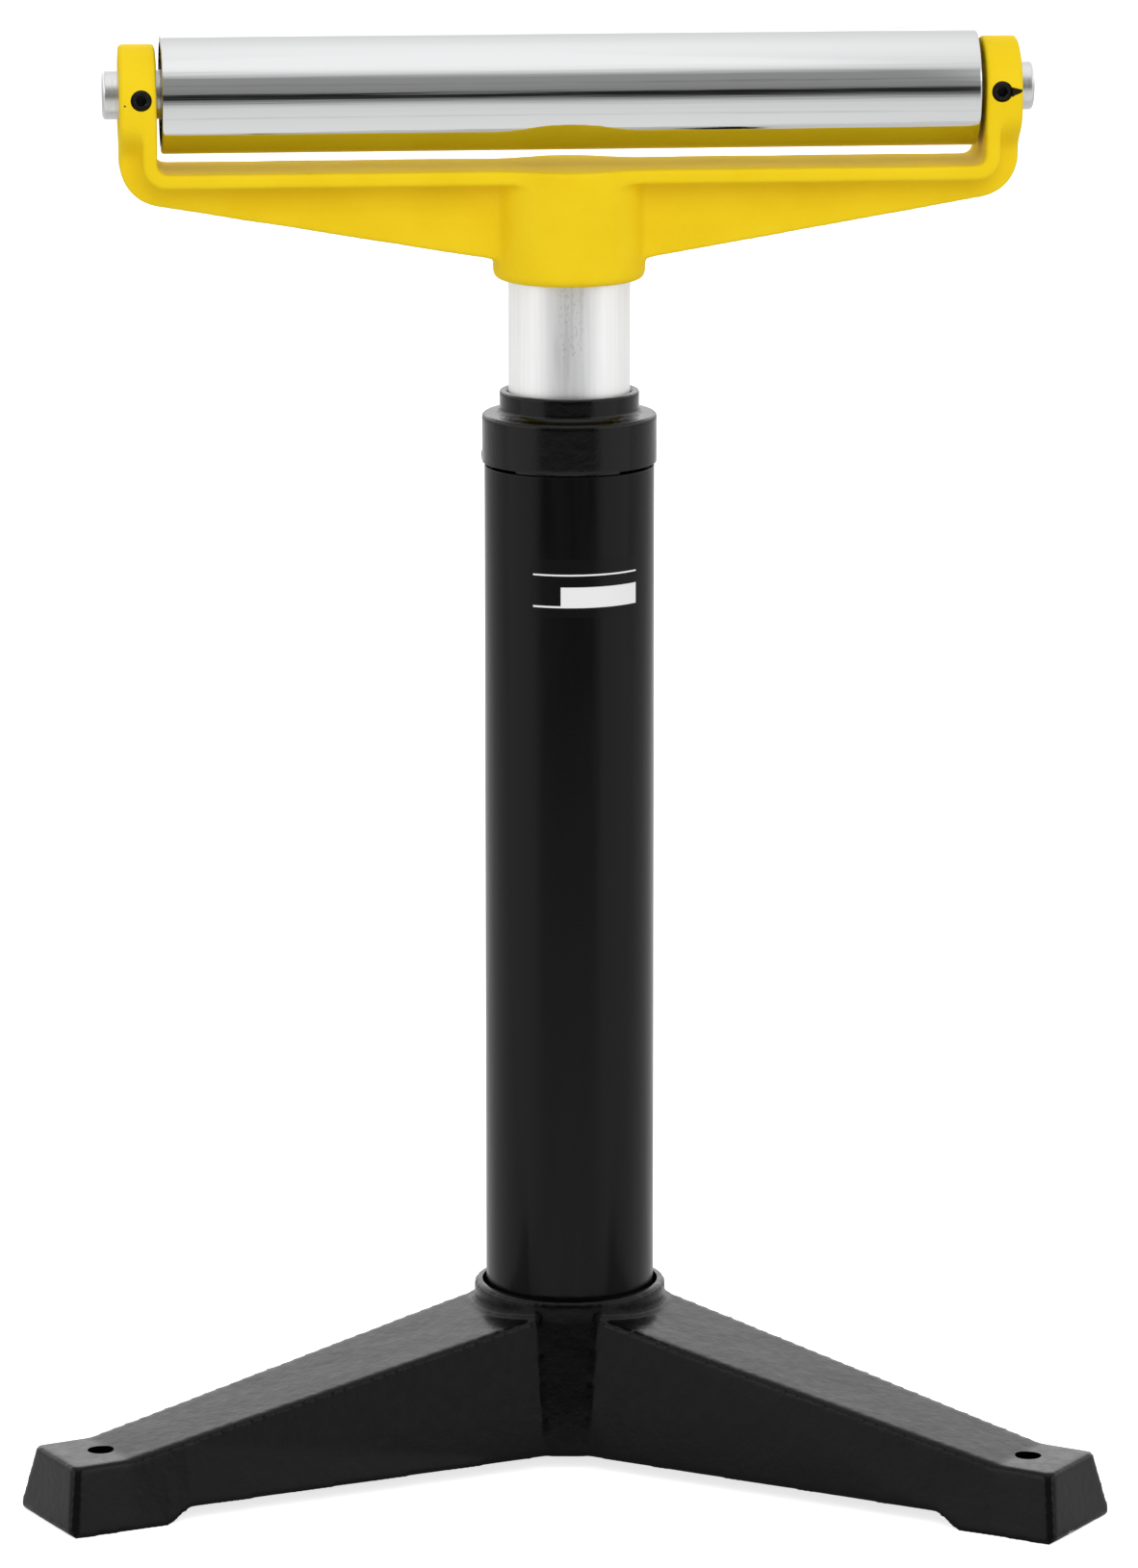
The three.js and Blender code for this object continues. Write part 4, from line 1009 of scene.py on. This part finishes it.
class Growth:
    """A node tree with named sizes, grown into a plain mesh."""

    def __init__(self, name, sizes):
        self.tree = bpy.data.node_groups.new(name, "GeometryNodeTree")
        face = self.tree.interface
        self.entry = {"Points": face.new_socket("Points", in_out="INPUT", socket_type="NodeSocketGeometry")}
        for label, kind in sizes.items():
            self.entry[label] = face.new_socket(label, in_out="INPUT", socket_type=kind)
        face.new_socket("Pieces", in_out="OUTPUT", socket_type="NodeSocketGeometry")
        self.given = self.tree.nodes.new("NodeGroupInput").outputs
        self.end = self.tree.nodes.new("NodeGroupOutput")

    def node(self, kind, settings=(), **inputs):
        made = self.tree.nodes.new(kind)
        for key, value in dict(settings).items():
            setattr(made, key, value)
        for label, value in inputs.items():
            self.feed(made.inputs[label.replace("_", " ")], value)
        return made

    def feed(self, socket, value):
        if isinstance(value, bpy.types.NodeSocket):
            self.tree.links.new(value, socket)
        else:
            socket.default_value = value

    def math(self, operation, *values):
        made = self.node("ShaderNodeMath", {"operation": operation})
        for socket, value in zip(made.inputs, values):
            self.feed(socket, value)
        return made.outputs[0]

    def close(self, geometry, material):
        plain = self.node("GeometryNodeRealizeInstances", Geometry=geometry)
        painted = self.node("GeometryNodeSetMaterial", Geometry=plain.outputs[0], Material=material)
        self.feed(self.end.inputs[0], painted.outputs[0])

    def grown(self, name, start, values):
        """Plain mesh of the tree on a start mesh, with the given sizes."""
        made = shown(name, start)
        growth = made.modifiers.new("growth", "NODES")
        growth.node_group = self.tree
        for label, value in values.items():
            growth[self.entry[label].identifier] = value
        mesh = settled(made)
        mesh.shade_smooth()
        mesh.set_sharp_from_angle(angle=math.radians(34.0))
        return mesh


def set_screws():
    """Socket set screws on points, each along the point's aim, tip on the point."""
    lengths = ("Diameter", "Length", "Key", "Socket Depth", "Chamfer")
    rule = Growth("set_screws", {label: "NodeSocketFloat" for label in lengths})
    given = rule.given
    radius = rule.math("DIVIDE", given["Diameter"], 2.0)
    tip = rule.math("SUBTRACT", radius, given["Chamfer"])
    blank = rule.node("GeometryNodeMeshCylinder", Vertices=48, Radius=tip, Depth=given["Chamfer"])
    lift = rule.node("ShaderNodeCombineXYZ", Z=rule.math("DIVIDE", given["Chamfer"], 2.0))
    stood = rule.node("GeometryNodeTransform", Geometry=blank.outputs["Mesh"], Translation=lift.outputs[0])
    opened = rule.node("GeometryNodeScaleElements", Geometry=stood.outputs[0], Selection=blank.outputs["Top"],
                       Scale=rule.math("DIVIDE", radius, tip))
    straight = rule.math("SUBTRACT", given["Length"], rule.math("MULTIPLY", given["Chamfer"], 2.0))
    shank = rule.node("GeometryNodeExtrudeMesh", Mesh=opened.outputs[0], Selection=blank.outputs["Top"],
                      Offset_Scale=straight)
    crown = rule.node("GeometryNodeExtrudeMesh", Mesh=shank.outputs["Mesh"], Selection=shank.outputs["Top"],
                      Offset_Scale=given["Chamfer"])
    closed = rule.node("GeometryNodeScaleElements", Geometry=crown.outputs["Mesh"],
                       Selection=crown.outputs["Top"], Scale=rule.math("DIVIDE", tip, radius))
    mouth = rule.node("GeometryNodeExtrudeMesh", Mesh=closed.outputs[0], Selection=crown.outputs["Top"],
                      Offset_Scale=0.0)
    spot = rule.node("ShaderNodeSeparateXYZ", Vector=rule.node("GeometryNodeInputPosition").outputs[0])
    angle = rule.math("ARCTAN2", spot.outputs["Y"], spot.outputs["X"])
    sixth = math.pi / 3
    facet = rule.math("SUBTRACT", rule.math("FLOORED_MODULO", angle, sixth), sixth / 2)
    flat = rule.math("DIVIDE", rule.math("DIVIDE", given["Key"], 2.0), rule.math("COSINE", facet))
    hexagon = rule.node("ShaderNodeCombineXYZ", X=rule.math("MULTIPLY", flat, rule.math("COSINE", angle)),
                        Y=rule.math("MULTIPLY", flat, rule.math("SINE", angle)), Z=spot.outputs["Z"])
    keyed = rule.node("GeometryNodeSetPosition", Geometry=mouth.outputs["Mesh"], Selection=mouth.outputs["Top"],
                      Position=hexagon.outputs[0])
    socket = rule.node("GeometryNodeExtrudeMesh", Mesh=keyed.outputs[0], Selection=mouth.outputs["Top"],
                       Offset_Scale=rule.math("MULTIPLY", given["Socket Depth"], -1.0))
    aim = rule.node("GeometryNodeInputNamedAttribute", {"data_type": "FLOAT_VECTOR"}, Name="aim")
    turn = rule.node("FunctionNodeAlignRotationToVector", {"axis": "Z"}, Vector=aim.outputs["Attribute"])
    row = rule.node("GeometryNodeInstanceOnPoints", Points=given["Points"], Instance=socket.outputs["Mesh"],
                    Rotation=turn.outputs[0])
    rule.close(row.outputs[0], OXIDE)
    return rule


def aimed_points(name, places):
    """Start mesh: a point at each (tip, aim) pair, in metres."""
    mesh = bpy.data.meshes.new(name)
    mesh.from_pydata([tip for tip, _ in places], [], [])
    aims = mesh.attributes.new("aim", "FLOAT_VECTOR", "POINT")
    for entry, (_, aim) in zip(aims.data, places):
        entry.vector = aim
    return mesh


def spoke(matrix, angle, reach, z):
    """Tip and aim of a screw that points outwards from the column axis."""
    out = Vector((math.cos(angle), math.sin(angle), 0.0))
    return matrix @ (out * reach + Vector((0, 0, z))), matrix.to_3x3() @ out


SCREWS = set_screws()
SCREW_ROWS = {
    "base_screws": ("stand", [spoke(STAND, a, BASE_SCREW_TIP, BASE_SCREW_Z) for a in BASE_SCREW_ANGLES],
                    10.0, BASE_SCREW_FLUSH - BASE_SCREW_TIP, "base_set_screw"),
    "hub_screws": ("head", [spoke(HEAD, a, POST_RADIUS + SEAT_GAP, HUB_SCREW_Z) for a in HUB_SCREW_ANGLES],
                   8.0, YOKE_HUB_RADIUS - 0.4 - POST_RADIUS - SEAT_GAP, "hub_set_screw"),
    "axle_screws": ("head", [(HEAD @ Vector((x, -AXLE_HOLE, AXLE_HEIGHT)), HEAD.to_3x3() @ Vector((0, -1, 0)))
                             for x in (-AXLE_SCREW_X, AXLE_SCREW_X)],
                    8.0, YOKE_HALF_DEPTH - 0.4 - AXLE_HOLE, "axle_set_screw"),
}
for name, (body, places, diameter, length, node) in SCREW_ROWS.items():
    sizes = {"Diameter": diameter, "Length": length, "Key": diameter * 0.5,
             "Socket Depth": min(4.0, length / 2), "Chamfer": diameter / 14}
    row = SCREWS.grown(name, aimed_points(name, places), {k: v * 0.001 for k, v in sizes.items()})
    piece(name, row, body, "black_steel", f"{node}_left", f"{node}_right")


def ball_cages():
    """Ring of balls in a pressed ribbon cage, about Z, then set along the axle."""
    kinds = {"Pitch Radius": "NodeSocketFloat", "Ball Radius": "NodeSocketFloat", "Ball Count": "NodeSocketInt",
             "Cage Wall": "NodeSocketFloat", "Cage Width": "NodeSocketFloat",
             "Middle": "NodeSocketVector", "Turn": "NodeSocketVector"}
    rule = Growth("ball_cages", kinds)
    given = rule.given
    pitch = rule.node("GeometryNodeMeshCircle", Vertices=given["Ball Count"], Radius=given["Pitch Radius"])
    ball = rule.node("GeometryNodeMeshUVSphere", Segments=20, Rings=12, Radius=given["Ball Radius"])
    balls = rule.node("GeometryNodeInstanceOnPoints", Points=pitch.outputs[0], Instance=ball.outputs["Mesh"])
    path = rule.node("GeometryNodeCurvePrimitiveCircle", Resolution=72, Radius=given["Pitch Radius"])
    section = rule.node("GeometryNodeCurvePrimitiveQuadrilateral", Width=given["Cage Wall"],
                        Height=given["Cage Width"])
    ribbon = rule.node("GeometryNodeCurveToMesh", Curve=path.outputs["Curve"],
                       Profile_Curve=section.outputs["Curve"])
    ring = rule.node("GeometryNodeJoinGeometry")
    rule.tree.links.new(balls.outputs[0], ring.inputs[0])
    rule.tree.links.new(ribbon.outputs[0], ring.inputs[0])
    laid = rule.node("GeometryNodeTransform", Geometry=ring.outputs[0], Translation=given["Middle"],
                     Rotation=given["Turn"])
    rule.close(laid.outputs[0], BEARING)
    return rule


CAGES = ball_cages()
for hand, side in (("left", -1), ("right", 1)):
    middle = AXLE_LINE @ Vector((0.0, 0.0, side * (BEARING_OUTER_FACE + BEARING_INNER_FACE) / 2))
    cage = CAGES.grown(f"cage_{hand}", bpy.data.meshes.new("cage_start"), {
        "Pitch Radius": PITCH_RADIUS * 0.001, "Ball Radius": 0.003175, "Ball Count": 9,
        "Cage Wall": 0.0014, "Cage Width": 0.0026, "Middle": tuple(middle),
        "Turn": tuple((HEAD.to_3x3().normalized() @ ALONG_X.to_3x3()).to_euler())})
    piece(f"cage_{hand}", cage, f"ball_cage_{hand}", "bearing_steel", f"bearing_ball_cage_{hand}")

# Circlips keep their CAD shape, in black oxide.
for node in ("bush_circlip_lower", "bush_circlip_upper", "axle_circlip_left", "axle_circlip_right"):
    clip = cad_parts[node]
    clip.data.materials.clear()
    clip.data.materials.append(OXIDE)


# Studio: pale floor, white surround with a dim opening in front, and the camera


def studio_floor():
    corners = [(-60.0, -0.235, 0.0), (60.0, -0.235, 0.0), (60.0, 60.0, 0.0), (-60.0, 60.0, 0.0)]
    return shown("studio_floor", mesh_of("studio_floor", [(corners, [[0, 1, 2, 3]])]))


def floor_finish():
    material = bpy.data.materials.new("studio_floor")
    material.use_nodes = True
    tree = material.node_tree
    tree.nodes.clear()
    end = tree.nodes.new("ShaderNodeOutputMaterial")
    matt = tree.nodes.new("ShaderNodeBsdfDiffuse")
    matt.inputs["Color"].default_value = (0.8, 0.8, 0.8, 1.0)
    lift = tree.nodes.new("ShaderNodeEmission")
    seen = tree.nodes.new("ShaderNodeLightPath")
    share = tree.nodes.new("ShaderNodeMath")
    share.operation = "MULTIPLY"
    share.inputs[1].default_value = 0.75
    both = tree.nodes.new("ShaderNodeAddShader")
    tree.links.new(seen.outputs["Is Camera Ray"], share.inputs[0])
    tree.links.new(share.outputs[0], lift.inputs["Strength"])
    tree.links.new(matt.outputs[0], both.inputs[0])
    tree.links.new(lift.outputs[0], both.inputs[1])
    tree.links.new(both.outputs[0], end.inputs["Surface"])
    return material


# Brightness of the surround by the height of the look, from straight down (-1) to straight up (1).
FRONT_LIGHT = [(-1.0, 1.06), (-0.69, 1.0), (-0.66, 0.80), (-0.63, 1.0), (-0.375, 0.92), (-0.25, 0.66),
               (-0.07, 0.06), (-0.04, 0.02), (0.03, 0.02), (0.09, 0.30), (0.34, 0.37), (0.368, 0.27),
               (0.395, 0.37), (0.56, 0.38), (0.75, 1.22), (0.84, 1.33), (1.0, 1.32)]
AROUND_LIGHT = [(-1.0, 1.0), (0.0, 0.95), (0.16, 1.05), (0.26, 1.9), (0.46, 1.7), (0.52, 1.15), (0.57, 0.96),
                (0.87, 1.15), (1.0, 1.3)]
SOFT_LIGHT = 0.72


def studio_world():
    """Soft surround, white to the camera: darker in front, where the studio behind the camera is mirrored."""
    world = bpy.data.worlds.new("studio")
    bpy.context.scene.world = world
    world.use_nodes = True
    tree = world.node_tree
    light = tree.nodes["Background"]

    def calc(operation, *values):
        made = tree.nodes.new("ShaderNodeMath")
        made.operation = operation
        for socket, value in zip(made.inputs, values):
            if isinstance(value, bpy.types.NodeSocket):
                tree.links.new(value, socket)
            else:
                socket.default_value = value
        return made.outputs[0]

    way = tree.nodes.new("ShaderNodeSeparateXYZ")
    tree.links.new(tree.nodes.new("ShaderNodeTexCoord").outputs["Generated"], way.inputs[0])
    height = calc("MULTIPLY_ADD", way.outputs["Z"], 0.5, 0.5)

    def by_height(stops):
        made = tree.nodes.new("ShaderNodeValToRGB")
        tree.links.new(height, made.inputs[0])
        scale = made.color_ramp.elements
        for place, strength in stops[1:-1]:
            scale.new(place * 0.5 + 0.5)
        for entry, (_, strength) in zip(scale, stops):
            entry.color = (strength, strength, strength, 1.0)
        return made.outputs[0]

    level = calc("SQRT", calc("MAXIMUM", calc("SUBTRACT", 1.0, calc("POWER", way.outputs["Z"], 2.0)), 1e-6))
    front = tree.nodes.new("ShaderNodeMapRange")
    front.interpolation_type = "SMOOTHSTEP"
    tree.links.new(calc("DIVIDE", calc("MULTIPLY", way.outputs["Y"], -1.0), level), front.inputs["Value"])
    front.inputs["From Min"].default_value = 0.66
    front.inputs["From Max"].default_value = 0.85
    away = calc("SUBTRACT", 1.0, front.outputs[0])
    glow = calc("MULTIPLY_ADD", by_height(FRONT_LIGHT), front.outputs[0],
                calc("MULTIPLY", by_height(AROUND_LIGHT), away))
    seen = tree.nodes.new("ShaderNodeLightPath").outputs
    scattered = calc("MINIMUM", seen["Diffuse Depth"], 1.0)
    shine = calc("MULTIPLY_ADD", calc("SUBTRACT", SOFT_LIGHT, glow), scattered, glow)
    tree.links.new(calc("MAXIMUM", shine, seen["Is Camera Ray"]), light.inputs["Strength"])
    light.inputs["Color"].default_value = (1.0, 1.0, 1.0, 1.0)


def soft_lamp(name, size, power, place, aim):
    """Broad soft lamp, seen by no mirror, so that the roller shows the surround alone."""
    lamp = bpy.data.lights.new(name, "AREA")
    lamp.shape = "SQUARE"
    lamp.size = size
    lamp.energy = power
    made = bpy.data.objects.new(name, lamp)
    made.location = place
    made.rotation_euler = (Vector(aim) - Vector(place)).to_track_quat("-Z", "Y").to_euler()
    made.visible_glossy = False
    made.visible_camera = False
    bpy.context.scene.collection.objects.link(made)


def studio_lamps():
    soft_lamp("key", 2.2, 28.0, (0.5, -2.6, 2.2), (0.0, -0.05, 0.5))
    soft_lamp("back", 2.2, 28.0, (-0.3, 2.4, 1.6), (0.0, -0.05, 0.5))


def photo_camera():
    """Camera at the photograph's place: 1182 x 1629 frame, no shift."""
    base_turn = math.radians(1.294)
    tilt = math.radians(11.906)
    roll = math.radians(-0.028)
    place = Matrix.Rotation(base_turn, 4, "Z") @ Vector((-0.2, -3201.15, 958.52))
    right = Vector((math.cos(base_turn), math.sin(base_turn), 0.0))
    ahead = Vector((-math.sin(base_turn), math.cos(base_turn), 0.0))
    up = Vector((0.0, 0.0, 1.0))
    look = ahead * math.cos(tilt) - up * math.sin(tilt)
    head_up = ahead * math.sin(tilt) + up * math.cos(tilt)
    side = right * math.cos(roll) + head_up * math.sin(roll)
    top = head_up * math.cos(roll) - right * math.sin(roll)
    lens = bpy.data.cameras.new("photo_camera")
    lens.sensor_width = 36.0
    lens.lens = 8191.97 * 36.0 / 1629.0
    lens.clip_start, lens.clip_end = 0.1, 200.0
    made = bpy.data.objects.new("photo_camera", lens)
    turn = Matrix((side, top, -look)).transposed().to_4x4()
    made.matrix_world = Matrix.Translation((place + Vector((0.0, COLUMN_AXIS_Y, 0.0))) * 0.001) @ turn
    bpy.context.scene.collection.objects.link(made)
    bpy.context.scene.camera = made


ground = studio_floor()
ground.data.materials.append(floor_finish())
studio_world()
studio_lamps()
photo_camera()
bpy.context.scene.view_settings.view_transform = "Standard"
